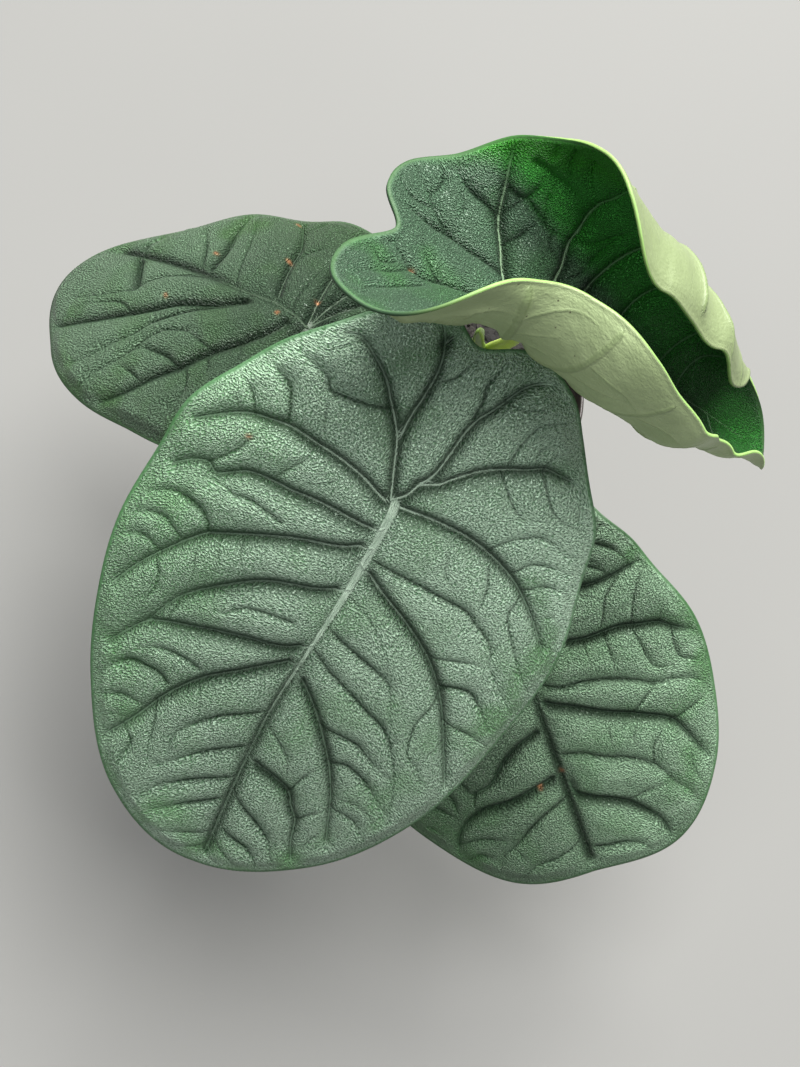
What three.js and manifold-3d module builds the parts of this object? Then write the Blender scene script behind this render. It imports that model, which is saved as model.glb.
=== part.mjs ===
// A potted Alocasia melo: four shield-shaped leaves on round petioles, a short rhizome, potting mix and a nursery pot.
// Millimetres. +Z is up, Z is also the pot's axis, and the pot stands on Z = 0.
import * as THREE from "three";
import { mergeVertices } from "three/addons/utils/BufferGeometryUtils.js";
import Module from "manifold-3d";

const wasm = await Module();
wasm.setup();

const GAP = 0.3; // air between two pieces that touch

const POT = {
  height: 110,
  topRadius: 60,
  baseRadius: 44,
  wall: 1.8,
  floor: 2.5,
  rimHeight: 13,
  rimStep: 2.4,
  drainHoles: 8,
  drainRadius: 4,
  drainCircle: 30,
  sides: 48,
};

const SOIL = { level: 98, lump: 2.2, rings: 7 };

const RHIZOME = { bottom: 62, top: 113, radius: 15.5, sides: 24 };

const PETIOLE = { foot: 97, footRadius: 4.6, topRadius: 2.5, sides: 10, steps: 12 };

const BLADE = { thickness: 1.2, quilt: 3.8, quiltWidth: 24, ribShare: 0.55, across: 3, along: 11, tipShare: 0.2 };

// One entry for each leaf. attach is the point where the petiole meets the blade.
// The tip points along heading, seen from above, and dip below the horizontal. The blade is then turned by roll about it.
// Lengths along the blade run from attach toward the tip, and across it toward the near (+) or the far (-) side.
// near and far give the outline's distance from attach every 15 degrees, from the tip to the notch between the lobes.
// droop bends the midrib down on the tip's side and the lobes' side, fold lifts each half at the midrib,
// and curl is each half's curvature at the given stations along the midrib: negative turns the margin down.
// Four primary veins of each half start at attach and the next four at the stations along the midrib.
// A vein goes by way of the points in by and meets the margin at the angle to.
const LEAVES = {
  front: {
    attach: [-28.6, -122.2, 278.4],
    heading: -123.9,
    dip: 35.2,
    roll: -22.6,
    near: [169, 156, 132, 111, 97, 85, 76.5, 70.5, 67, 66, 68, 68, 60],
    far: [169, 156, 132, 112, 97, 84.5, 76, 70.5, 67, 66, 69, 69, 60],
    droop: [0.0012, 0.002],
    fold: [3, 3],
    curl: { stations: [0, 1], near: [-0.005, -0.005], far: [-0.005, -0.005] },
    twist: 0,
    wave: { height: 1.2, count: 9 },
    petiole: [[-2.2, -8], [-1, -20, 150], [-2, -52, 215]],
    stations: [21, 41, 70, 111],
    veins: {
      near: [
        { by: [[-24, 6], [-43, 9]], to: 168 },
        { by: [[-18, 11], [-33, 20]], to: 139 },
        { by: [[-13, 22], [-21, 44]], to: 111 },
        { by: [[-6, 31], [-6, 53]], to: 83 },
        { by: [[26, 21], [40, 50], [62, 67]], to: 45 },
        { by: [[46, 26], [67, 51]], to: 34 },
        { by: [[82, 19], [105, 39]], to: 21 },
        { by: [[119, 17], [133, 31]], to: 14 },
      ],
      far: [
        { by: [[-24, -7], [-46, -14]], to: -153 },
        { by: [[-16, -15], [-30, -32]], to: -124 },
        { by: [[-7, -26], [-8, -48]], to: -96 },
        { by: [[1, -33], [8, -51]], to: -66 },
        { by: [[31, -10], [48, -38], [79, -61]], to: -36 },
        { by: [[54, -15], [82, -38]], to: -27 },
        { by: [[83, -9], [113, -31]], to: -17 },
        { by: [[121, -12], [134, -25]], to: -10 },
      ],
    },
  },
  left: {
    attach: [-64.6, -18.8, 209.6],
    heading: 153.4,
    dip: 11.8,
    roll: 3,
    near: [145, 114, 92, 82, 78, 74, 68, 61, 56, 52, 51, 50, 42],
    far: [145, 134, 111, 90, 75, 67, 62, 58, 54, 52, 51, 50, 42],
    droop: [0.0034, 0.002],
    fold: [0, 0],
    curl: { stations: [0, 1], near: [-0.008, -0.008], far: [-0.008, -0.008] },
    twist: 0,
    wave: { height: 1.6, count: 11 },
    petiole: [[-7.6, 2.4], [-13, 1, 135], [-38, -6, 180]],
    stations: [17, 39, 64, 94],
    veins: {
      near: [
        { by: [[-24, 9]], to: 158 },
        { by: [[-18, 24]], to: 132 },
        { by: [[-8, 30]], to: 105 },
        { by: [[6, 34]], to: 80 },
        { by: [[24, 25]], to: 57 },
        { by: [[49, 30]], to: 40 },
        { by: [[73, 24]], to: 26 },
        { by: [[104, 14]], to: 12 },
      ],
      far: [
        { by: [[-24, -9]], to: -158 },
        { by: [[-20, -22]], to: -130 },
        { by: [[-6, -30]], to: -98 },
        { by: [[12, -30]], to: -66 },
        { by: [[27, -17], [61, -43]], to: -34 },
        { by: [[70, -14], [99, -26]], to: -17 },
        { by: [[90, -10]], to: -10 },
        { by: [[112, -6]], to: -5 },
      ],
    },
  },
  right: {
    attach: [10.9, -119.7, 183.5],
    heading: -67,
    dip: 33.7,
    roll: 16,
    near: [140, 142, 127, 104, 81, 66, 57, 52, 50, 50, 52, 52, 45],
    far: [140, 142, 127, 104, 81, 64, 56, 51, 50, 50, 52, 52, 45],
    droop: [0.001, 0.002],
    fold: [3, 3],
    curl: { stations: [0, 1], near: [-0.005, -0.005], far: [-0.005, -0.005] },
    twist: 0,
    wave: { height: 1.4, count: 10 },
    petiole: [[7.8, -3.4], [9, -24, 128], [10, -70, 164]],
    stations: [29, 57, 80, 102],
    veins: {
      near: [
        { by: [[-24, 8]], to: 160 },
        { by: [[-18, 24]], to: 132 },
        { by: [[-6, 30]], to: 102 },
        { by: [[12, 32]], to: 74 },
        { by: [[40, 34]], to: 55 },
        { by: [[68, 28], [82, 48]], to: 37 },
        { by: [[90, 26]], to: 24 },
        { by: [[112, 19]], to: 13 },
      ],
      far: [
        { by: [[-24, -8]], to: -160 },
        { by: [[-18, -22]], to: -132 },
        { by: [[-6, -30]], to: -105 },
        { by: [[12, -32]], to: -80 },
        { by: [[34, -42]], to: -57 },
        { by: [[66, -24], [88, -54]], to: -33 },
        { by: [[90, -20], [101, -36]], to: -22 },
        { by: [[111, -16]], to: -13 },
      ],
    },
  },
  young: {
    attach: [11.5, -69, 325.4],
    heading: -16.3,
    dip: 35,
    roll: -6.5,
    near: [111, 99, 88, 83, 76, 67, 62, 63, 65, 68, 72, 63, 48.3],
    far: [111, 99, 87, 87, 90, 86, 74, 61, 52, 50, 56, 54, 48.3],
    droop: [0, 0.0022],
    fold: [-5.6, -16.5],
    curl: {
      stations: [-59, -9, 51, 109],
      near: [0.0124, 0.0396, 0.0211, 0.0663],
      far: [0.0007, 0.0374, 0.0558, 0.13],
    },
    twist: 14,
    wave: { height: 0, count: 9 },
    petiole: [[3.2, 7.4], [4, -4, 150], [9, -27, 206], [15, -54, 271]],
    stations: [19, 41, 63, 85],
    veins: {
      near: [
        { by: [[-26, 10]], to: 160 },
        { by: [[-22, 24]], to: 134 },
        { by: [[-8, 30]], to: 108 },
        { by: [[10, 32]], to: 80 },
        { by: [[28, 28]], to: 58 },
        { by: [[52, 26]], to: 41 },
        { by: [[74, 20]], to: 25 },
        { by: [[93, 12]], to: 11 },
      ],
      far: [
        { by: [[-24, -9]], to: -160 },
        { by: [[-20, -24]], to: -134 },
        { by: [[-8, -32]], to: -108 },
        { by: [[8, -36]], to: -82 },
        { by: [[28, -34]], to: -60 },
        { by: [[52, -32]], to: -43 },
        { by: [[74, -23]], to: -26 },
        { by: [[92, -14]], to: -11 },
      ],
    },
  },
};

const OUTLINE_STEP = 15; // degrees between two outline radii
const TWIST_LENGTH = 60; // length along the midrib over which the twist comes in

const radians = THREE.MathUtils.degToRad;

// Adds the material and the name to a finished geometry.
function piece(name, geometry, color, roughness) {
  geometry.computeVertexNormals();
  const mesh = new THREE.Mesh(geometry, new THREE.MeshStandardMaterial({ color, roughness, metalness: 0 }));
  mesh.name = name;
  return mesh;
}

// The same closed surface for manifold-3d, which joins and cuts solids.
function toSolid(geometry) {
  const bare = geometry.clone();
  bare.deleteAttribute("normal");
  bare.deleteAttribute("uv");
  const merged = mergeVertices(bare, 1e-3);
  return new wasm.Manifold(
    new wasm.Mesh({
      numProp: 3,
      vertProperties: merged.attributes.position.array,
      triVerts: new Uint32Array(merged.index.array),
    }),
  );
}

function toGeometry(solid) {
  const { vertProperties, triVerts } = solid.getMesh();
  return new THREE.BufferGeometry()
    .setAttribute("position", new THREE.BufferAttribute(new Float32Array(vertProperties), 3))
    .setIndex(new THREE.BufferAttribute(new Uint32Array(triVerts), 1));
}

// A body of revolution about Z. The profile's points are [radius, height] and run up the outside.
function turned(profile, sides) {
  const points = profile.map(([radius, height]) => new THREE.Vector2(radius, height));
  return new THREE.LatheGeometry(points, sides).rotateX(Math.PI / 2);
}

// Moves every vertex of a geometry by a rule.
function moveVertices(geometry, rule) {
  const position = geometry.attributes.position;
  const point = new THREE.Vector3();
  for (let i = 0; i < position.count; i++) {
    rule(point.fromBufferAttribute(position, i));
    position.setXYZ(i, point.x, point.y, point.z);
  }
  return geometry;
}

function potWallRadius(height) {
  const taper = (POT.topRadius - POT.rimStep - POT.baseRadius) / POT.height;
  return POT.baseRadius + taper * height;
}

// The pot: a thin tapered shell with a deeper rim band and a ring of drainage holes in its floor.
function pot() {
  const rimFoot = POT.height - POT.rimHeight;
  const lip = POT.wall / 2;
  const profile = [
    [0, 0],
    [POT.baseRadius - 1.5, 0],
    [potWallRadius(1.5), 1.5],
    [potWallRadius(rimFoot), rimFoot],
    [POT.topRadius - 0.6, rimFoot],
    [POT.topRadius, rimFoot + 1],
    [POT.topRadius, POT.height - lip],
    [POT.topRadius - lip, POT.height],
    [POT.topRadius - 2 * lip, POT.height - lip],
    [POT.topRadius - 2 * lip - 0.4, rimFoot + 3],
    [potWallRadius(rimFoot) - POT.wall, rimFoot],
    [potWallRadius(POT.floor) - POT.wall, POT.floor],
    [0, POT.floor],
  ];
  let shell = toSolid(turned(profile, POT.sides));
  for (let i = 0; i < POT.drainHoles; i++) {
    const angle = ((i + 0.5) / POT.drainHoles) * 2 * Math.PI;
    const hole = new THREE.CylinderGeometry(POT.drainRadius, POT.drainRadius, 4 * POT.floor, 12);
    hole.rotateX(Math.PI / 2);
    hole.translate(POT.drainCircle * Math.cos(angle), POT.drainCircle * Math.sin(angle), POT.floor / 2);
    shell = shell.subtract(toSolid(hole));
  }
  return toGeometry(shell);
}

// Lumps of bark and grit in the potting mix's surface, as a height above its level.
function lumps(x, y) {
  const coarse = Math.sin(0.31 * x + 1.3) * Math.cos(0.27 * y - 0.4);
  const fine = Math.sin(0.63 * x - 0.5 * y) * Math.cos(0.58 * y + 0.21 * x + 2);
  return SOIL.lump * (0.55 * coarse + 0.45 * fine);
}

// The potting mix fills the pot and has a plain hole where the rhizome stands.
function pottingMix(hole) {
  const low = POT.floor + GAP;
  const rimFoot = POT.height - POT.rimHeight;
  const wallAt = (height) => potWallRadius(height) - POT.wall - GAP;
  const edge = wallAt(rimFoot - 4);
  const profile = [
    [0, low],
    [wallAt(low) - 0.3, low],
    [edge, rimFoot - 4],
  ];
  for (let ring = 0; ring <= SOIL.rings; ring++) {
    profile.push([edge * (1 - ring / SOIL.rings), SOIL.level]);
  }
  const body = moveVertices(turned(profile, POT.sides), (p) => {
    const radius = Math.hypot(p.x, p.y);
    if (p.z > rimFoot - 3) {
      p.z += lumps(p.x, p.y) - (radius > edge - 1 ? SOIL.lump + 1 : 0);
    }
  });
  return toGeometry(toSolid(body).subtract(hole));
}

// The rhizome: a short stout stem, swollen at the surface. grow adds the clearance of the hole it stands in.
function rhizomeBody(grow) {
  const { bottom, top, radius, sides } = RHIZOME;
  const profile = [
    [0, bottom - grow],
    [0.5 * radius + grow, bottom - grow],
    [0.86 * radius + grow, bottom + 14],
    [radius + grow, SOIL.level - 5],
    [radius + grow, SOIL.level + 5],
    [0.84 * radius + grow, top - 3],
    [0.5 * radius + grow, top + grow],
    [0, top + grow],
  ];
  return turned(profile, sides);
}

// A tapered round rod along a smooth path, closed at both ends. grow thickens it and lengthens it at its foot.
function bentRod(path, footRadius, topRadius, grow) {
  const { sides, steps } = PETIOLE;
  const frames = path.computeFrenetFrames(steps, false);
  const profile = [[0, 0]];
  for (let i = 0; i <= steps; i++) {
    const flare = Math.exp((-6 * i) / steps);
    profile.push([topRadius + (footRadius - topRadius) * flare + grow, i]);
  }
  profile.push([0, steps]);
  return moveVertices(turned(profile, sides), (p) => {
    const i = Math.round(p.z);
    const centre = path.getPointAt(i / steps);
    if (i === 0) centre.addScaledVector(frames.tangents[0], -grow);
    p.copy(centre.addScaledVector(frames.normals[i], p.x).addScaledVector(frames.binormals[i], p.y));
  });
}

// The blade's own axes: tip along the midrib, face out of the upper side, side toward the near half.
function bladeAxes(leaf) {
  const heading = radians(leaf.heading);
  const dip = radians(leaf.dip);
  const roll = radians(leaf.roll);
  const ahead = new THREE.Vector3(Math.cos(heading), Math.sin(heading), 0);
  const up = new THREE.Vector3(0, 0, 1);
  const tip = ahead.clone().multiplyScalar(Math.cos(dip)).addScaledVector(up, -Math.sin(dip));
  const level = ahead.clone().multiplyScalar(Math.sin(dip)).addScaledVector(up, Math.cos(dip));
  const aside = tip.clone().cross(level);
  return {
    tip,
    face: level.clone().multiplyScalar(Math.cos(roll)).addScaledVector(aside, Math.sin(roll)),
    side: aside.clone().multiplyScalar(Math.cos(roll)).addScaledVector(level, -Math.sin(roll)),
  };
}

// The outline's distance from attach in the direction angle, as a smooth closed curve through near and far.
function edgeRadius(leaf, angle) {
  const half = leaf.near.length - 1;
  const station = angle / radians(OUTLINE_STEP);
  const low = Math.floor(station);
  const at = (k) => {
    const wrapped = THREE.MathUtils.euclideanModulo(k + half, 2 * half) - half;
    return wrapped < 0 ? leaf.far[-wrapped] : leaf.near[wrapped];
  };
  const [a, b, c, d] = [at(low - 1), at(low), at(low + 1), at(low + 2)];
  const x = station - low;
  return b + 0.5 * x * (c - a + x * (2 * a - 5 * b + 4 * c - d + x * (3 * (b - c) + d - a)));
}

// A half's curvature at a place along the midrib, with a smooth step from each station to the next.
function curlAt({ stations }, values, along) {
  const last = stations.length - 1;
  if (along <= stations[0]) return values[0];
  if (along >= stations[last]) return values[last];
  const k = stations.findIndex((station) => station > along) - 1;
  const x = THREE.MathUtils.smoothstep(along, stations[k], stations[k + 1]);
  return values[k] + (values[k + 1] - values[k]) * x;
}

// An arc that starts at the angle start and turns by curvature: how far it goes out and up over a length.
function arc(length, curvature, start) {
  if (Math.abs(curvature) < 1e-6) {
    return [length * Math.cos(start), length * Math.sin(start)];
  }
  const end = start + curvature * length;
  return [(Math.sin(end) - Math.sin(start)) / curvature, (Math.cos(start) - Math.cos(end)) / curvature];
}

// The middle surface of the blade, without its relief.
function bladePoint(leaf, along, across) {
  const { tip, face, side } = leaf.axes;
  const droop = along > 0 ? leaf.droop[0] : leaf.droop[1];
  const [run, rise] = arc(along, -droop, 0);
  const turn = -droop * along;
  const up = face.clone().multiplyScalar(Math.cos(turn)).addScaledVector(tip, -Math.sin(turn));
  const twist = radians(leaf.twist) * THREE.MathUtils.smoothstep(along, 0, TWIST_LENGTH);
  const out = side.clone().multiplyScalar(Math.cos(twist)).addScaledVector(up, Math.sin(twist));
  up.multiplyScalar(Math.cos(twist)).addScaledVector(side, -Math.sin(twist));
  const isNear = across > 0;
  const curvature = curlAt(leaf.curl, isNear ? leaf.curl.near : leaf.curl.far, along);
  const [reach, lift] = arc(Math.abs(across), curvature, radians(leaf.fold[isNear ? 0 : 1]));
  return new THREE.Vector3(...leaf.attach)
    .addScaledVector(tip, run)
    .addScaledVector(face, rise)
    .addScaledVector(out, isNear ? reach : -reach)
    .addScaledVector(up, lift);
}

function bladeNormal(leaf, along, across) {
  const step = 0.5;
  const lengthwise = bladePoint(leaf, along + step, across).sub(bladePoint(leaf, along - step, across));
  const crosswise = bladePoint(leaf, along, across + step).sub(bladePoint(leaf, along, across - step));
  return crosswise.cross(lengthwise).normalize();
}

// The margin's gentle wave, as a height above the middle surface.
function waveHeight(leaf, along, across) {
  const angle = Math.atan2(across, along);
  const share = Math.min(1, Math.hypot(along, across) / edgeRadius(leaf, angle));
  return leaf.wave.height * share ** 4 * Math.sin(leaf.wave.count * angle);
}

// The curves that bound the strips between the primary veins, in order from the notch round the tip to the notch.
function stripBounds(leaf) {
  const flat = (along, across) => new THREE.Vector2(along, across);
  const marginAt = (angle) => {
    const radius = edgeRadius(leaf, angle);
    return flat(radius * Math.cos(angle), radius * Math.sin(angle));
  };
  const bound = (from, by, to) => {
    const angle = radians(to);
    const points = [flat(from, 0), ...by.map((p) => flat(...p)), marginAt(angle)];
    return { from, angle, marginAt, curve: new THREE.SplineCurve(points) };
  };
  const basal = leaf.veins.near.length - leaf.stations.length;
  const veins = (half) => half.map(({ by, to }, k) => bound(k < basal ? 0 : leaf.stations[k - basal], by, to));
  const tipStart = THREE.MathUtils.lerp(leaf.stations.at(-1), leaf.near[0], BLADE.tipShare);
  return [
    bound(0, [], 180),
    ...veins(leaf.veins.near),
    bound(tipStart, [], 0),
    ...veins(leaf.veins.far).reverse(),
    bound(0, [], -180),
  ];
}

// A point of the strip between two bounds: u goes from one bound to the other, v from the midrib to the margin.
function stripPoint(a, b, u, v) {
  const lerp = (p, q, x) => p.clone().lerp(q, x);
  const root = new THREE.Vector2(THREE.MathUtils.lerp(a.from, b.from, u), 0);
  const margin = a.marginAt(THREE.MathUtils.lerp(a.angle, b.angle, u));
  const sides = lerp(a.curve.getPointAt(v), b.curve.getPointAt(v), u);
  const ends = lerp(root, margin, v);
  const rootLine = lerp(a.curve.getPoint(0), b.curve.getPoint(0), u);
  const marginLine = lerp(a.curve.getPoint(1), b.curve.getPoint(1), u);
  return sides.add(ends).sub(lerp(rootLine, marginLine, v));
}

// The quilted relief: the leaf bulges up between two sunken primary veins, a narrow strip less than a wide one,
// and a shallower vein crosses the strip on every other row.
function quiltHeight(a, b, u, v, row) {
  const apart = b.curve.getPointAt(v).sub(a.curve.getPointAt(v));
  const along = a.curve.getTangentAt(v).add(b.curve.getTangentAt(v)).normalize();
  const width = Math.abs(apart.cross(along));
  const bulge = BLADE.quilt * Math.min(1, width / BLADE.quiltWidth);
  const between = Math.sin(Math.PI * u) ** 0.8;
  const fade = THREE.MathUtils.smoothstep(v, 0, 0.2) * (1 - THREE.MathUtils.smoothstep(v, 0.85, 1));
  const rib = row % 2 ? 1 - BLADE.ribShare : 1;
  return bulge * between * fade * rib;
}

// The blade is a closed sheet. Both faces hold the same triangles, the lower one a thickness under the upper one.
function blade(leaf) {
  const top = [];
  const low = [];
  const index = new Map();
  const faces = [];
  const rim = [];
  const vertex = (key, point, height) => {
    if (!index.has(key)) {
      const normal = bladeNormal(leaf, point.x, point.y);
      const raised = height + waveHeight(leaf, point.x, point.y);
      const middle = bladePoint(leaf, point.x, point.y);
      index.set(key, top.length);
      top.push(middle.clone().addScaledVector(normal, raised));
      low.push(middle.clone().addScaledVector(normal, raised - BLADE.thickness));
    }
    return index.get(key);
  };
  const triangle = (a, b, c) => {
    if (a !== b && b !== c && c !== a) faces.push([a, b, c]);
  };
  const bounds = stripBounds(leaf);
  const strips = bounds.length - 1;
  for (let k = 0; k < strips; k++) {
    const [a, b] = [bounds[k], bounds[k + 1]];
    const grid = [];
    for (let j = 0; j <= BLADE.along; j++) {
      const row = [];
      for (let i = 0; i <= BLADE.across; i++) {
        const u = i / BLADE.across;
        const v = j / BLADE.along;
        const point = stripPoint(a, b, u, v);
        const bound = (i === 0 ? k : k + 1) % strips;
        let key = `${k} ${i} ${j}`;
        if (i === 0 || i === BLADE.across) key = `bound ${bound} ${j}`;
        if (j === 0) key = `midrib ${THREE.MathUtils.lerp(a.from, b.from, u).toFixed(2)}`;
        row.push(vertex(key, point, quiltHeight(a, b, u, v, j)));
      }
      grid.push(row);
    }
    for (let j = 0; j < BLADE.along; j++) {
      for (let i = 0; i < BLADE.across; i++) {
        triangle(grid[j][i], grid[j + 1][i], grid[j + 1][i + 1]);
        triangle(grid[j][i], grid[j + 1][i + 1], grid[j][i + 1]);
      }
    }
    const margin = grid[BLADE.along];
    for (let i = 0; i < BLADE.across; i++) rim.push([margin[i], margin[i + 1]]);
  }
  return closedSheet(top, low, faces, rim);
}

// Joins an upper and a lower face that share their triangles by a wall round the rim.
function closedSheet(top, low, faces, rim) {
  const count = top.length;
  const triangles = [];
  for (const [a, b, c] of faces) {
    triangles.push(a, b, c, count + a, count + c, count + b);
  }
  for (const [a, b] of rim) {
    triangles.push(a, count + a, count + b, a, count + b, b);
  }
  const coordinates = [...top, ...low].flatMap((p) => p.toArray());
  return new THREE.BufferGeometry()
    .setAttribute("position", new THREE.Float32BufferAttribute(coordinates, 3))
    .setIndex(triangles);
}

// A thick disc round attach, from just under the blade's lower face to well above it. It trims the petiole's top.
function trimDisc(leaf) {
  const radius = 9;
  const sides = 16;
  const ring = Array.from({ length: sides }, (_, i) => {
    const angle = Math.PI - (i / sides) * 2 * Math.PI;
    return [radius * Math.cos(angle), radius * Math.sin(angle)];
  });
  const normal = bladeNormal(leaf, 0, 0);
  const flat = [[0, 0], ...ring];
  const at = (height) =>
    flat.map(([along, across]) => bladePoint(leaf, along, across).addScaledVector(normal, height));
  const edge = ring.map((_, i) => [i + 1, ((i + 1) % sides) + 1]);
  const faces = edge.map(([a, b]) => [0, a, b]);
  return closedSheet(at(8), at(-BLADE.thickness - GAP), faces, edge);
}

// The petiole rises from its socket in the rhizome, along its own curve, to the underside of the blade.
function petiolePath(leaf) {
  const [[footX, footY], ...way] = leaf.petiole;
  const end = bladePoint(leaf, 0, 0).addScaledVector(bladeNormal(leaf, 0, 0), 2);
  const points = [
    new THREE.Vector3(footX, footY, PETIOLE.foot),
    new THREE.Vector3(1.05 * footX, 1.05 * footY, PETIOLE.foot + 12),
    ...way.map((p) => new THREE.Vector3(...p)),
    end,
  ];
  return new THREE.CatmullRomCurve3(points, false, "centripetal");
}

const plant = new THREE.Group();
plant.name = "potted_alocasia_melo";

plant.add(piece("pot", pot(), 0x1d1815, 0.45));

const rhizomeHole = toSolid(rhizomeBody(GAP));
let rhizome = toSolid(rhizomeBody(0));

for (const [name, leaf] of Object.entries(LEAVES)) {
  leaf.axes = bladeAxes(leaf);
  const path = petiolePath(leaf);
  const stalk = toSolid(bentRod(path, PETIOLE.footRadius, PETIOLE.topRadius, 0));
  rhizome = rhizome.subtract(toSolid(bentRod(path, PETIOLE.footRadius, PETIOLE.topRadius, GAP)));
  plant.add(piece(`petiole_${name}`, toGeometry(stalk.subtract(toSolid(trimDisc(leaf)))), 0x8fa63c, 0.5));
  plant.add(piece(`blade_${name}`, blade(leaf), name === "young" ? 0x4f8a52 : 0x4b6654, 0.55));
}

plant.add(piece("rhizome", toGeometry(rhizome), 0x6f6a45, 0.7));
plant.add(piece("potting_mix", pottingMix(rhizomeHole), 0x3a2b20, 0.95));

export default plant;
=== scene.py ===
import math

import bmesh
import bpy
import numpy as np
from mathutils import Euler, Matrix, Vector, noise
from mathutils.kdtree import KDTree


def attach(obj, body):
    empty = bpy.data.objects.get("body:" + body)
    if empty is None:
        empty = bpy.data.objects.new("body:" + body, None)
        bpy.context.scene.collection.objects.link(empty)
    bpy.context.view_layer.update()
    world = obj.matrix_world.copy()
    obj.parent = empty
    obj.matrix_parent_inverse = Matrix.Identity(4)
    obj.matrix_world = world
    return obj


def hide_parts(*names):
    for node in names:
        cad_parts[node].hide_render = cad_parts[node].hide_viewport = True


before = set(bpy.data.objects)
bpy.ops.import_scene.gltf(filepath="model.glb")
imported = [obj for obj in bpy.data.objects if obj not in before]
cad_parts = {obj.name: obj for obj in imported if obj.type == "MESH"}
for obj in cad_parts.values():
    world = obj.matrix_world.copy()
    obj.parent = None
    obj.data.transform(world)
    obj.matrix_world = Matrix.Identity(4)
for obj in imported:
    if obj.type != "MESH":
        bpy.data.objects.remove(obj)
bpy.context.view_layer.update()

# The studio: a pale matt table top, a wide soft light from above, a lower one from behind that draws out
# the veins, a weak one from the front left and an even pale surround. The camera looks steeply down at
# the plant from in front of it.


class Reading:
    """One output socket, which takes part in sums and products like a number."""

    def __init__(self, tree, socket):
        self.tree = tree
        self.socket = socket

    def combined(self, operation, *others, flipped=False):
        node = self.tree.nodes.new("ShaderNodeMath")
        node.operation = operation
        terms = [self, *others]
        if flipped:
            terms.reverse()
        for socket, term in zip(node.inputs, terms):
            if isinstance(term, Reading):
                self.tree.links.new(term.socket, socket)
            else:
                socket.default_value = term
        return Reading(self.tree, node.outputs[0])

    def __add__(self, other):
        return self.combined("ADD", other)

    __radd__ = __add__

    def __sub__(self, other):
        return self.combined("SUBTRACT", other)

    def __rsub__(self, other):
        return self.combined("SUBTRACT", other, flipped=True)

    def __mul__(self, other):
        return self.combined("MULTIPLY", other)

    __rmul__ = __mul__

    def __neg__(self):
        return self.combined("MULTIPLY", -1.0)

    def at_least(self, other):
        return self.combined("MAXIMUM", other)

    def size(self):
        return self.combined("ABSOLUTE")


class Finish:
    """A material in the making: its node tree and its shader."""

    def __init__(self, name, **fixed):
        self.material = bpy.data.materials.new(name)
        self.material.use_nodes = True
        self.tree = self.material.node_tree
        self.tree.nodes.clear()
        self.shader = self.tree.nodes.new("ShaderNodeBsdfPrincipled")
        surface = self.tree.nodes.new("ShaderNodeOutputMaterial")
        self.tree.links.new(self.shader.outputs[0], surface.inputs[0])
        for socket, value in fixed.items():
            self.set(socket.replace("_", " "), value)

    def set(self, socket, value):
        socket = self.shader.inputs[socket]
        if isinstance(value, Reading):
            self.tree.links.new(value.socket, socket)
        else:
            socket.default_value = value

    def node(self, kind, settings, sockets, output=0):
        made = self.tree.nodes.new("ShaderNode" + kind)
        for name, value in settings.items():
            setattr(made, name, value)
        for name, value in sockets.items():
            if isinstance(value, Reading):
                self.tree.links.new(value.socket, made.inputs[name])
            else:
                made.inputs[name].default_value = value
        return Reading(self.tree, made.outputs[output])

    def between(self, share, low, high):
        """The colour low where share is 0, high where it is 1."""
        return self.node("Mix", {"data_type": "RGBA", "clamp_factor": True}, {0: share, 6: low, 7: high}, 2)

    def step(self, value, low, high):
        """0 below low, 1 above high, smooth between."""
        settings = {"interpolation_type": "SMOOTHSTEP", "clamp": True}
        return self.node("MapRange", settings, {"Value": value, "From Min": low, "From Max": high})

    def grain(self, place, scale, detail=2.0, roughness=0.5):
        """Cloudy noise from 0 to 1 at a place."""
        sockets = {"Vector": place, "Scale": scale, "Detail": detail, "Roughness": roughness}
        return self.node("TexNoise", {"noise_dimensions": "3D"}, sockets, "Fac")

    def stretched(self, place, *scale):
        """A place measured on another scale along each axis."""
        return self.node("Mapping", {}, {"Vector": place, "Scale": scale})

    def here(self):
        """The place on the object, in metres."""
        return self.node("TexCoord", {}, {}, "Object")

    def field(self, label):
        """Three measures that a mesh carries at each of its points."""
        return self.node("Attribute", {"attribute_name": label}, {}, "Vector")

    def measure(self, field, k):
        """One measure of the three, by its number."""
        return self.node("SeparateXYZ", {}, {"Vector": field}, k)

    def bump(self, height, distance, strength=1.0):
        sockets = {"Height": height, "Distance": distance, "Strength": strength}
        self.set("Normal", self.node("Bump", {}, sockets))


def tone(red, green, blue):
    """A colour from its values in a picture, 0 to 255."""
    shares = (red / 255, green / 255, blue / 255)
    return (*(s / 12.92 if s <= 0.04045 else ((s + 0.055) / 1.055) ** 2.4 for s in shares), 1.0)


def new_object(name, mesh, *finishes):
    body = bpy.data.objects.new(name, mesh)
    bpy.context.scene.collection.objects.link(body)
    for finish in finishes:
        mesh.materials.append(finish.material)
    return body


def new_mesh(name, shape, smooth=True):
    """The mesh of a finished bmesh."""
    mesh = bpy.data.meshes.new(name)
    shape.to_mesh(mesh)
    shape.free()
    mesh.polygons.foreach_set("use_smooth", [smooth] * len(mesh.polygons))
    return mesh


table_top = Finish("table_top", Roughness=0.85)
table_mottle = table_top.grain(table_top.here(), 3.0)
table_top.set("Base Color", table_top.between(table_mottle, tone(109, 109, 107), tone(114, 114, 112)))
shape = bmesh.new()
bmesh.ops.create_grid(shape, x_segments=1, y_segments=1, size=4.0)
floor = new_object("floor", new_mesh("floor", shape, False), table_top)

world = bpy.data.worlds.new("surround")
bpy.context.scene.world = world
world.use_nodes = True
world.node_tree.nodes["Background"].inputs["Color"].default_value = (0.93, 0.96, 1.0, 1.0)
world.node_tree.nodes["Background"].inputs["Strength"].default_value = 0.38
bpy.context.scene.view_settings.view_transform = "Standard"

MIDDLE = Vector((-0.02, -0.11, 0.25))  # the middle of the leaves


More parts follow.
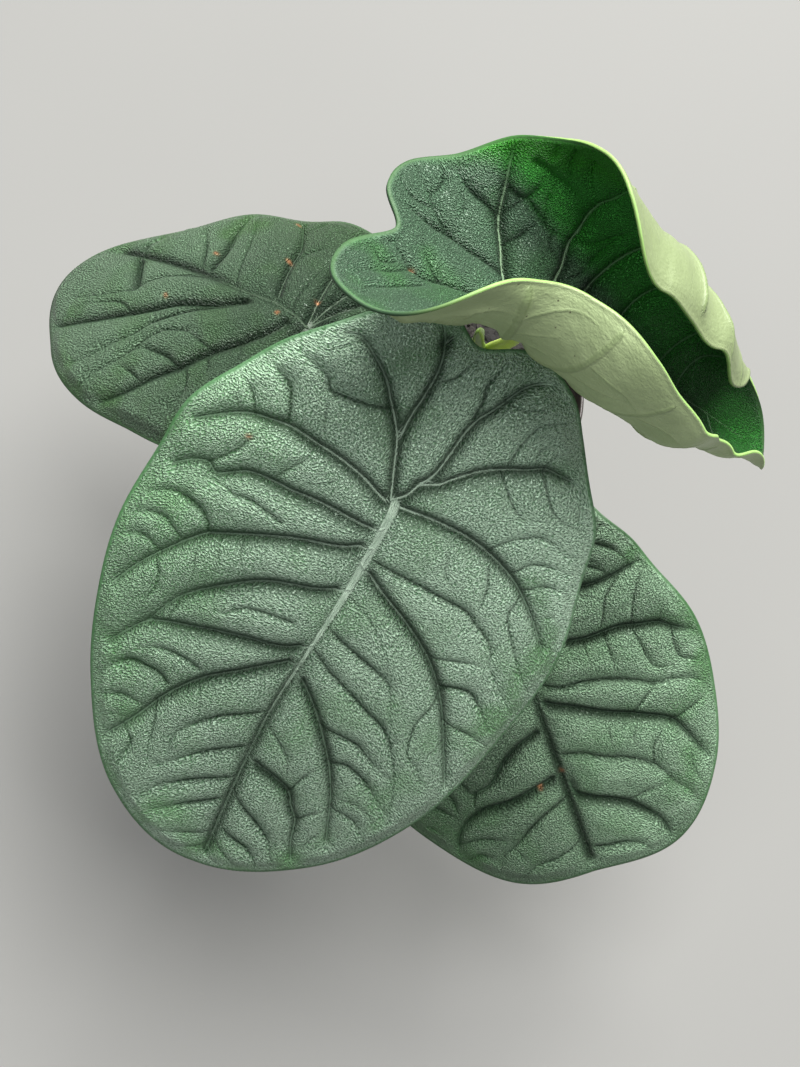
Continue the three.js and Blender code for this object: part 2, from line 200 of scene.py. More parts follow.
def soft_light(name, place, size, power, warmth):
    lamp = bpy.data.lights.new(name, "AREA")
    lamp.shape = "RECTANGLE"
    lamp.size, lamp.size_y = size
    lamp.energy = power
    lamp.color = warmth
    body = bpy.data.objects.new(name, lamp)
    bpy.context.scene.collection.objects.link(body)
    body.location = place
    body.rotation_euler = (MIDDLE - Vector(place)).to_track_quat("-Z", "Y").to_euler()


soft_light("key_light", (1.0, 0.8, 4.0), (2.8, 2.6), 365.0, (1.0, 0.99, 0.97))
soft_light("rake_light", (1.0, 2.4, 2.9), (1.8, 1.4), 265.0, (1.0, 0.99, 0.96))
soft_light("fill_light", (-0.9, -0.9, 2.2), (1.2, 1.2), 9.0, (0.97, 0.99, 1.0))

lens = bpy.data.cameras.new("camera")
lens.lens = 50.0
lens.sensor_width = 36.0
camera = bpy.data.objects.new("camera", lens)
bpy.context.scene.collection.objects.link(camera)
camera.location = (-0.02692, -0.30222, 0.74492)
camera.rotation_euler = (math.radians(20), 0.0, 0.0)
bpy.context.scene.camera = camera

# The nursery pot: thin black-brown plastic, moulded in one piece with a deeper rim band, a rounded lip
# and eight drainage holes in its floor. It stands on its floor.

MM = 0.001  # the pieces' own sizes are written in mm
AIR = 0.3  # between two pieces that stand close
POT_HEIGHT = 110
POT_TOP = 60
POT_BASE = 44
POT_WALL = 1.8
POT_FLOOR = 2.5
RIM_FOOT = 97
RIM_STEP = 2.4
DRAIN_HOLES = 8
DRAIN_RADIUS = 4
DRAIN_CIRCLE = 30
PUNCH_LENGTH = 20


def pot_wall(height):
    """The outer wall's radius at a height, under the rim band."""
    return POT_BASE + (POT_TOP - RIM_STEP - POT_BASE) / POT_HEIGHT * height


def turned(profile, sides):
    """A body of revolution from its profile of (radius, height), in mm."""
    shape = bmesh.new()
    steps = len(profile) - 1
    bmesh.ops.create_grid(shape, x_segments=sides, y_segments=steps, size=1.0)
    for vertex in shape.verts:
        radius, height = profile[round((vertex.co.y / 2 + 0.5) * steps)]
        turn = math.pi * vertex.co.x
        vertex.co = (radius * MM * math.cos(turn), radius * MM * math.sin(turn), height * MM)
    bmesh.ops.remove_doubles(shape, verts=shape.verts, dist=1e-6)
    bmesh.ops.recalc_face_normals(shape, faces=shape.faces)
    return shape


black_plastic = Finish("pot_plastic")
place = black_plastic.here()
scuffs = black_plastic.grain(place, 60.0, 4.0, 0.6)
black_plastic.set("Base Color", black_plastic.between(scuffs, tone(34, 29, 27), tone(52, 46, 43)))
black_plastic.set("Roughness", 0.34 + 0.22 * scuffs)
black_plastic.bump(black_plastic.grain(place, 900.0, 2.0), 0.0002, 0.25)

shape = turned([
    (0, 0), (30, 0), (POT_BASE - 2, 0), (POT_BASE - 0.5, 0.4), (pot_wall(2), 2),
    (pot_wall(RIM_FOOT - 1), RIM_FOOT - 1), (pot_wall(RIM_FOOT) + 0.6, RIM_FOOT - 0.2),
    (POT_TOP - 0.8, RIM_FOOT), (POT_TOP - 0.1, RIM_FOOT + 0.6), (POT_TOP, RIM_FOOT + 2),
    (POT_TOP, POT_HEIGHT - 1.2), (POT_TOP - 0.3, POT_HEIGHT - 0.4), (POT_TOP - 0.9, POT_HEIGHT),
    (POT_TOP - 1.5, POT_HEIGHT - 0.4), (POT_TOP - 1.8, POT_HEIGHT - 1.2), (POT_TOP - 2.1, RIM_FOOT + 3.4),
    (POT_TOP - 2.8, RIM_FOOT + 2.2), (pot_wall(RIM_FOOT) - POT_WALL, RIM_FOOT),
    (pot_wall(4) - POT_WALL, 4), (pot_wall(POT_FLOOR) - POT_WALL - 1.2, POT_FLOOR), (0, POT_FLOOR),
], 96)
pot = new_object("nursery_pot", new_mesh("nursery_pot", shape), black_plastic)
punches = bmesh.new()
for k in range(DRAIN_HOLES):
    turn = (k + 0.5) / DRAIN_HOLES * 2 * math.pi
    made = bmesh.ops.create_cone(punches, cap_ends=True, segments=20, radius1=DRAIN_RADIUS * MM,
                                 radius2=DRAIN_RADIUS * MM, depth=PUNCH_LENGTH * MM)
    hole = (DRAIN_CIRCLE * MM * math.cos(turn), DRAIN_CIRCLE * MM * math.sin(turn), 0.0)
    bmesh.ops.translate(punches, verts=made["verts"], vec=hole)
punch = new_object("punch", new_mesh("punch", punches))
cut = pot.modifiers.new("drainage", "BOOLEAN")
cut.operation = "DIFFERENCE"
cut.object = punch
cut.solver = "EXACT"
pot_mesh = bpy.data.meshes.new_from_object(pot.evaluated_get(bpy.context.evaluated_depsgraph_get()))
pot.modifiers.clear()
pot.data = pot_mesh
bpy.data.objects.remove(punch)
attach(pot, "root")
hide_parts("pot")

# The potting mix: fine dark compost with lumps of bark and a little pale grit, pressed in round the
# rhizome to a finger's width under the rim.

SOIL_LEVEL = 98
CHIPS = 300
soil_edge = pot_wall(RIM_FOOT - 4) - POT_WALL - AIR


def soil_height(x, y):
    """The height of the mix's surface at a place, in mm."""
    lump = noise.noise(Vector((x / 11, y / 11, 3.1))) * 2.0 + noise.noise(Vector((x / 4, y / 4, 8.2)))
    radius = math.hypot(x, y)
    return SOIL_LEVEL + lump - 2.5 * max(0.0, (radius - soil_edge + 5) / 5)


compost = Finish("potting_mix", Roughness=0.95)
place = compost.here()
crumbs = compost.grain(place, 320.0, 5.0, 0.7)
grit = compost.step(compost.grain(place, 700.0, 1.0), 0.68, 0.74)
earth = compost.between(compost.step(crumbs, 0.35, 0.7), tone(11, 10, 9), tone(26, 23, 20))
compost.set("Base Color", compost.between(grit, earth, tone(120, 112, 98)))
compost.bump(crumbs, 0.0016, 0.9)

low = POT_FLOOR + AIR
rings = [(soil_edge * (1 - k / 26), SOIL_LEVEL) for k in range(27)]
shape = turned([(0, low), (pot_wall(low) - POT_WALL - 0.6, low), (soil_edge, RIM_FOOT - 6), *rings], 90)
for vertex in shape.verts:
    if vertex.co.z > (SOIL_LEVEL - 0.5) * MM:
        vertex.co.z = soil_height(vertex.co.x / MM, vertex.co.y / MM) * MM
mix = new_object("potting_mix_bed", new_mesh("potting_mix_bed", shape), compost)
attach(mix, "root")
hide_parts("potting_mix")

bark = Finish("bark_chips", Roughness=0.9)
place = bark.here()
fibres = bark.grain(bark.stretched(place, 900.0, 900.0, 300.0), 1.0, 3.0)
patches = bark.grain(place, 90.0)
bark_tone = bark.between(bark.step(patches, 0.4, 0.62), tone(20, 18, 16), tone(38, 33, 28))
bark.set("Base Color", bark.between(fibres, tone(14, 12, 10), bark_tone))
bark.bump(fibres, 0.0006, 0.8)

dice = np.random.default_rng(7)
chip_reach = soil_edge - 4.5
shape = bmesh.new()
for k in range(CHIPS):
    # spread evenly over the mix, clear of the rhizome in the middle
    radius = chip_reach * math.sqrt(dice.uniform(0.13, 1.0))
    turn = dice.uniform(0, 2 * math.pi)
    x, y = radius * math.cos(turn), radius * math.sin(turn)
    long = dice.uniform(1.6, 4.2)
    made = bmesh.ops.create_icosphere(shape, subdivisions=1, radius=1.0)
    for vertex in made["verts"]:
        vertex.co *= 1 + 0.35 * noise.noise(vertex.co * 2 + Vector((k, 0, 0)))
    bmesh.ops.scale(shape, verts=made["verts"],
                    vec=(long * MM, long * dice.uniform(0.4, 0.8) * MM, long * dice.uniform(0.2, 0.45) * MM))
    spin = Vector(dice.uniform(-0.5, 0.5, 3)) + Vector((0, 0, dice.uniform(0, 6.3)))
    bmesh.ops.rotate(shape, verts=made["verts"], cent=(0, 0, 0), matrix=Euler(spin).to_matrix())
    bmesh.ops.translate(shape, verts=made["verts"],
                        vec=(x * MM, y * MM, (soil_height(x, y) + dice.uniform(-0.2, 0.6)) * MM))
chips = new_object("bark_lumps", new_mesh("bark_lumps", shape, False), bark)
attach(chips, "root")

# The rhizome: a short stout stem, swollen where it leaves the mix, ringed by the scars of old leaves and
# wrapped in dry brown skin. The four petioles stand in it.

stem_skin = Finish("rhizome_skin", Roughness=0.8)
place = stem_skin.here()
rough_skin = stem_skin.grain(place, 160.0, 4.0, 0.6)
scars = stem_skin.grain(stem_skin.stretched(place, 60.0, 60.0, 700.0), 1.0)
skin_tone = stem_skin.between(stem_skin.step(rough_skin, 0.3, 0.7), tone(72, 62, 36), tone(128, 122, 74))
stem_skin.set("Base Color", stem_skin.between(stem_skin.step(scars, 0.5, 0.65), skin_tone, tone(96, 74, 50)))
stem_skin.bump(rough_skin + scars, 0.001, 0.7)

RHIZOME_RADIUS = 15.5
RING_FOOT = 93
SHOULDER = 103
RINGS = 15
RING_STEP = 1.25
SCAR_DEPTH = 0.5
profile = [(0, 63), (6, 63), (11, 68), (14, 80), (15.4, 92)]
for k in range(RINGS):
    height = RING_FOOT + k * RING_STEP
    radius = RHIZOME_RADIUS - 5.2 * max(0.0, (height - SHOULDER) / 10) ** 1.6
    profile.append((radius - (SCAR_DEPTH if k % 3 == 0 else 0), height))
profile += [(7.5, 112.6), (4, 113), (0, 113)]
shape = turned(profile, 48)
for vertex in shape.verts:
    if vertex.co.z > 85 * MM and vertex.co.xy.length > 5 * MM:
        lump = noise.noise(vertex.co * 110)
        vertex.co.x *= 1 + 0.05 * lump
        vertex.co.y *= 1 + 0.05 * lump
rhizome = new_object("rhizome_stem", new_mesh("rhizome_stem", shape), stem_skin)
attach(rhizome, "root")
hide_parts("rhizome")

# The petioles: round fleshy stalks, bright yellow-green and faintly streaked, olive at the foot. Each
# stands in the rhizome, bends outward and joins its blade from below.

# The four leaves stand where the solids have them. Lengths are in mm along the midrib and across it, from
# attach, where the petiole joins. heading, dip and roll turn the blade, and near and far are the outline's
# radii every 15 degrees from tip to notch. droop is how the midrib bends down before and behind the joint,
# fold and curl are how the near and the far half tilt and bend, and wave is the height and number of the
# margin's waves. petiole is the stalk's way up from its foot. relief is how strongly the blade is quilted,
# calm how far that fades where it rolls up, and puff how high the flesh stands. hidden gives the main veins
# that are out of sight, each as its start on the midrib, the points that it passes and its direction at
# the margin. ladder names the pairs of them that have lesser veins between, and specks are where the small
# rusty spots lie. GROWN holds what the three mature leaves share.
GROWN = {"twist": 0, "relief": 1.0, "calm": 0, "puff": 3.0}
LEAVES = {
    "front": {
        "attach": (-28.6, -122.2, 278.4),
        "heading": -123.9,
        "dip": 35.2,
        "roll": -22.6,
        "near": [170.5, 158, 133.5, 111, 96, 84, 78, 70.5, 67, 65, 67, 71.5, 60.5],
        "far": [170.5, 159, 135.5, 113.5, 97, 84.5, 76, 72, 67.5, 67.5, 70, 69, 60.5],
        "droop": (0.0012, 0.002),
        "fold": (3, 3),
        "curl": ([0, 1], [-0.005, -0.005], [-0.005, -0.005]),
        "wave": (1.2, 9),
        "petiole": [(-2.2, -8), (-1, -20, 150), (-2, -52, 215)],
        **GROWN,
        "hidden": [],
        "ladder": [],
        "specks": [(1, 54)],
    },
    "left": {
        "attach": (-64.6, -18.8, 209.6),
        "heading": 153.4,
        "dip": 11.8,
        "roll": 3,
        "near": [147, 114, 97.5, 83, 77, 69.5, 67, 61, 56, 52, 51, 50, 42],
        "far": [147, 133, 112, 90, 76.5, 69, 62, 58, 54, 52, 51, 50, 42],
        "droop": (0.0034, 0.002),
        "fold": (0, 0),
        "curl": ([0, 1], [-0.008, -0.008], [-0.008, -0.008]),
        "wave": (1.6, 11),
        "petiole": [(-7.6, 2.4), (-13, 1, 135), (-38, -6, 180)],
        **GROWN,
        "hidden": [
            (0, [(-24, 9)], 158), (0, [(-18, 24)], 132), (0, [(-8, 30)], 105), (0, [(6, 34)], 80),
            (0, [(-24, -9)], -158), (0, [(-20, -22)], -130), (0, [(-6, -30)], -98), (0, [(12, -30)], -66),
            (92, [(104, 24)], 17),
        ],
        "ladder": [(0, 1), (1, 2), (2, 3), (4, 5), (5, 6), (6, 7)],
        "specks": [(63, 25), (71, -3), (2, 13), (28, 31), (41, 57), (14, 1)],
    },
    "right": {
        "attach": (10.9, -119.7, 183.5),
        "heading": -67,
        "dip": 33.7,
        "roll": 16,
        "near": [140, 139, 126.5, 109, 81, 66, 57, 52, 50, 50, 52, 52, 45],
        "far": [140, 143, 125, 103.5, 84, 66.5, 57.5, 51, 50, 50, 52, 52, 45],
        "droop": (0.001, 0.002),
        "fold": (3, 3),
        "curl": ([0, 1], [-0.005, -0.005], [-0.005, -0.005]),
        "wave": (1.4, 10),
        "petiole": [(7.8, -3.4), (9, -24, 128), (10, -70, 164)],
        **GROWN,
        "hidden": [
            (0, [(-24, 8)], 160), (0, [(-18, 24)], 132), (0, [(-6, 30)], 102), (0, [(12, 32)], 74),
            (29, [(40, 34)], 55),
            (0, [(-24, -8)], -160), (0, [(-18, -22)], -132), (0, [(-6, -30)], -105), (0, [(12, -32)], -80),
        ],
        "ladder": [(0, 1), (1, 2), (2, 3), (3, 4), (5, 6), (6, 7), (7, 8)],
        "specks": [(88, -1), (93, 10)],
    },
    "young": {
        "attach": (11.5, -69, 325.4),
        "heading": -16.3,
        "dip": 28.8,
        "roll": 5.5,
        "near": [116.5, 96.1, 80.2, 79.4, 73.8, 72.3, 61.7, 59.6, 69.7, 72.8, 75.0, 64.9, 47.4],
        "far": [116.5, 87.0, 84.0, 82.7, 80.0, 86.4, 82.8, 58.7, 51.8, 49.8, 56.0, 55.1, 47.4],
        "droop": (0.0020, 0.0000),
        "fold": (11.1, -17.2),
        "curl": (
            [-59, -9, 22, 51, 80, 109],
            [0.0167, 0.0382, 0.0301, 0.0328, 0.0522, 0.1150],
            [-0.0065, 0.0345, 0.0425, 0.0534, 0.0840, 0.0844],
        ),
        "twist": -10.2,
        "wave": (0, 9),
        "petiole": [(3.2, 7.4), (4, -4, 150), (9, -27, 206), (15, -54, 271)],
        "relief": 0.95,
        "calm": 0.85,
        "puff": 0.8,
        "hidden": [
            (0, [(-22, 24)], 134), (0, [(-8, 30)], 108), (0, [(10, 32)], 80), (19, [(28, 28)], 58),
            (41, [(52, 26)], 41), (63, [(74, 20)], 25), (85, [(93, 12)], 11), (19, [(28, -34)], -60),
        ],
        "ladder": [(0, 1), (1, 2), (2, 3), (3, 4), (4, 5)],
        "specks": [(-38, 11), (-7, 54), (-2, 54), (-12, 45), (-2, 47), (-24, 46), (-22, 57), (8, 46)],
    },
}


def smooth_step(x, low=0.0, high=1.0):
    share = np.clip((np.asarray(x, float) - low) / (high - low), 0, 1)
    return share * share * (3 - 2 * share)


def edge_radius(leaf, angle):
    """How far the margin is from the attachment in a direction, in radians from the tip."""
    ring = np.array(leaf["far"][:0:-1] + leaf["near"][:-1], float)
    count = len(ring)
    station = (np.asarray(angle, float) + math.pi) / math.radians(15)
    first = np.floor(station).astype(int)
    x = station - first
    a, b, c, d = (ring[(first + k) % count] for k in (-1, 0, 1, 2))
    return b + 0.5 * x * (c - a + x * (2 * a - 5 * b + 4 * c - d + x * (3 * (b - c) + d - a)))


def blade_axes(leaf):
    """The blade's own axes: along the midrib to the tip, to the near side, and out of the upper face."""
    heading, dip, roll = (math.radians(leaf[k]) for k in ("heading", "dip", "roll"))
    ahead = np.array([math.cos(heading), math.sin(heading), 0.0])
    up = np.array([0.0, 0.0, 1.0])
    tip = ahead * math.cos(dip) - up * math.sin(dip)
    level = ahead * math.sin(dip) + up * math.cos(dip)
    aside = np.cross(tip, level)
    side = aside * math.cos(roll) - level * math.sin(roll)
    face = level * math.cos(roll) + aside * math.sin(roll)
    return tip, side, face


def arc(length, curvature, start):
    """How far an arc of a length goes out and up, from a starting slope."""
    bend = np.where(np.abs(curvature) < 1e-7, 1e-7, curvature)
    end = start + bend * length
    return (np.sin(end) - np.sin(start)) / bend, (np.cos(start) - np.cos(end)) / bend


def blade_point(leaf, along, across):
    """The blade's surface without its relief, in mm."""
    tip, side, face = blade_axes(leaf)
    droop = np.where(along > 0, leaf["droop"][0], leaf["droop"][1])
    run, rise = arc(along, -droop, 0.0)
    turn = (-droop * along)[:, None]
    up = face * np.cos(turn) - tip * np.sin(turn)
    twist = (math.radians(leaf["twist"]) * smooth_step(along, 0, 60))[:, None]
    out = side * np.cos(twist) + up * np.sin(twist)
    up = up * np.cos(twist) - side * np.sin(twist)
    near = across > 0
    stations, near_curl, far_curl = leaf["curl"]
    curvature = np.zeros(len(along))
    for half, values in ((near, near_curl), (~near, far_curl)):
        bend = np.full(len(along), float(values[0]))
        for k in range(len(stations) - 1):
            bend += (values[k + 1] - values[k]) * smooth_step(along, stations[k], stations[k + 1])
        curvature[half] = bend[half]
    fold = np.radians(np.where(near, leaf["fold"][0], leaf["fold"][1]))
    reach, lift = arc(np.abs(across), curvature, fold)
    reach = np.where(near, reach, -reach)
    return (np.array(leaf["attach"]) + run[:, None] * tip + rise[:, None] * face
            + reach[:, None] * out + lift[:, None] * up)


def blade_normal(leaf, along, across):
    lengthwise = blade_point(leaf, along + 0.5, across) - blade_point(leaf, along - 0.5, across)
    crosswise = blade_point(leaf, along, across + 0.5) - blade_point(leaf, along, across - 0.5)
    normal = np.cross(crosswise, lengthwise)
    return normal / np.linalg.norm(normal, axis=1)[:, None]


def through(points, steps):
    """Places at equal parameter steps on a smooth centripetal curve through points."""
    points = np.array(points, float)
    points = np.vstack([2 * points[0] - points[1], points, 2 * points[-1] - points[-2]])
    knots = np.concatenate([[0], np.cumsum(np.sqrt(np.linalg.norm(np.diff(points, axis=0), axis=1)))])
    pieces = []
    for k in range(1, len(points) - 2):
        t = np.linspace(knots[k], knots[k + 1], steps, endpoint=False)[:, None]
        p = [points[k - 1 + i] for i in range(4)]
        s = [knots[k - 1 + i] for i in range(4)]
        one = [(s[i + 1] - t) / (s[i + 1] - s[i]) * p[i] + (t - s[i]) / (s[i + 1] - s[i]) * p[i + 1]
               for i in range(3)]
        two = [(s[i + 2] - t) / (s[i + 2] - s[i]) * one[i] + (t - s[i]) / (s[i + 2] - s[i]) * one[i + 1]
               for i in range(2)]
        pieces.append((s[2] - t) / (s[2] - s[1]) * two[0] + (t - s[1]) / (s[2] - s[1]) * two[1])
    return np.vstack([*pieces, points[-2:-1]])


def even(points, count):
    """The same line with count places at equal lengths."""
    lengths = np.concatenate([[0], np.cumsum(np.linalg.norm(np.diff(points, axis=0), axis=1))])
    wanted = np.linspace(0, lengths[-1], count)
    return np.stack([np.interp(wanted, lengths, points[:, k]) for k in range(points.shape[1])], axis=1)


stalk = Finish("petiole_skin", Roughness=0.42)
flat = stalk.node("UVMap", {"uv_map": "around"}, {})
streaks = stalk.grain(stalk.stretched(flat, 40.0, 3.0, 1.0), 1.0, 4.0, 0.6)
height = stalk.measure(flat, 1)
flesh = stalk.between(stalk.step(height, 0.0, 0.45), tone(104, 112, 44), tone(152, 178, 58))
stalk.set("Base Color", stalk.between(streaks, flesh, tone(168, 190, 76)))
stalk.bump(streaks, 0.0004, 0.5)

QUILT = 5.8  # how deep the main veins lie under the height that the flesh would have between them
JOINT_RISE = 2.4  # how far the blade rises round the petiole's joint
TOP_DEPTH = 1.4  # how far under the blade's upper face the petiole ends
PETIOLE_FOOT = 97
SOCKET_TOP = 109
TOP_RADIUS = 2.5
FOOT_SWELL = 2.1
PETIOLE_STEPS = 72
PETIOLE_SIDES = 28
for name, leaf in LEAVES.items():
    (foot_x, foot_y), *way = leaf["petiole"]
    origin = np.zeros(1)
    sunk = TOP_DEPTH - leaf["relief"] * (leaf["puff"] - QUILT + JOINT_RISE)
    top = blade_point(leaf, origin, origin)[0] - blade_normal(leaf, origin, origin)[0] * sunk
    line = [(foot_x, foot_y, PETIOLE_FOOT), (1.05 * foot_x, 1.05 * foot_y, SOCKET_TOP), *way, tuple(top)]
    line = even(through(line, 30), PETIOLE_STEPS + 1)
    ahead = np.gradient(line, axis=0)
    ahead /= np.linalg.norm(ahead, axis=1)[:, None]
    across_line = np.cross(ahead, (0.0, 1.0, 0.0))
    across_line /= np.linalg.norm(across_line, axis=1)[:, None]
    third = np.cross(ahead, across_line)
    shape = bmesh.new()
    bmesh.ops.create_grid(shape, x_segments=PETIOLE_SIDES, y_segments=PETIOLE_STEPS, size=1.0, calc_uvs=True)
    around = shape.loops.layers.uv.new("around")
    for face in shape.faces:
        for loop in face.loops:
            loop[around].uv = (loop.vert.co.x / 2 + 0.5, loop.vert.co.y / 2 + 0.5)
    for vertex in shape.verts:
        step = round((vertex.co.y / 2 + 0.5) * PETIOLE_STEPS)
        turn = -math.pi * vertex.co.x
        radius = TOP_RADIUS + FOOT_SWELL * math.exp(-6 * step / PETIOLE_STEPS)
        if step == PETIOLE_STEPS:
            radius *= 0.7
        spot = line[step] + radius * (math.cos(turn) * across_line[step] + math.sin(turn) * third[step])
        vertex.co = Vector(spot) * MM
    bmesh.ops.remove_doubles(shape, verts=shape.verts, dist=1e-6)
    bmesh.ops.holes_fill(shape, edges=[e for e in shape.edges if e.is_boundary])
    bmesh.ops.recalc_face_normals(shape, faces=shape.faces)
    petiole = new_object(f"petiole_stalk_{name}", new_mesh(f"petiole_stalk_{name}", shape), stalk)
    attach(petiole, "root")
    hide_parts(f"petiole_{name}")

# The sheath: the open wing of the front stalk's foot, out of which the young leaf's stalk rose. It is
# fleshy and olive green, stands against that stalk and narrows to its point.

SHEATH_ROWS = 36
SHEATH_HALF = 4.6
SHEATH_THICKNESS = 0.8
sheath_way = [(6, -12, 176), (6, -23, 200), (4, -32, 222), (2, -40, 248)]
sheath_line = even(through(sheath_way, 30), SHEATH_ROWS + 1)
ahead = np.gradient(sheath_line, axis=0)
ahead /= np.linalg.norm(ahead, axis=1)[:, None]
sideways = np.cross(ahead, (0.0, -0.34, 0.94))
sideways /= np.linalg.norm(sideways, axis=1)[:, None]
outward = np.cross(sideways, ahead)
shape = bmesh.new()
bmesh.ops.create_grid(shape, x_segments=14, y_segments=SHEATH_ROWS, size=1.0)
for vertex in shape.verts:
    step = round((vertex.co.y / 2 + 0.5) * SHEATH_ROWS)
    half = SHEATH_HALF * (1 - (step / SHEATH_ROWS) ** 3) ** 0.5 + 0.3
    bow = 0.45 * half * (1 - vertex.co.x ** 2)
    vertex.co = Vector(sheath_line[step] + half * vertex.co.x * sideways[step] + bow * outward[step]) * MM
sheath_skin = Finish("sheath_skin", Roughness=0.45)
place = sheath_skin.here()
mottle = sheath_skin.grain(place, 240.0, 3.0)
sheath_skin.set("Base Color", sheath_skin.between(mottle, tone(58, 82, 30), tone(96, 122, 48)))
sheath_skin.bump(mottle, 0.0003, 0.5)
sheath = new_object("petiole_sheath", new_mesh("petiole_sheath", shape), sheath_skin)
thick = sheath.modifiers.new("thickness", "SOLIDIFY")
thick.thickness = SHEATH_THICKNESS * MM
thick.offset = 0.0
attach(sheath, "root")
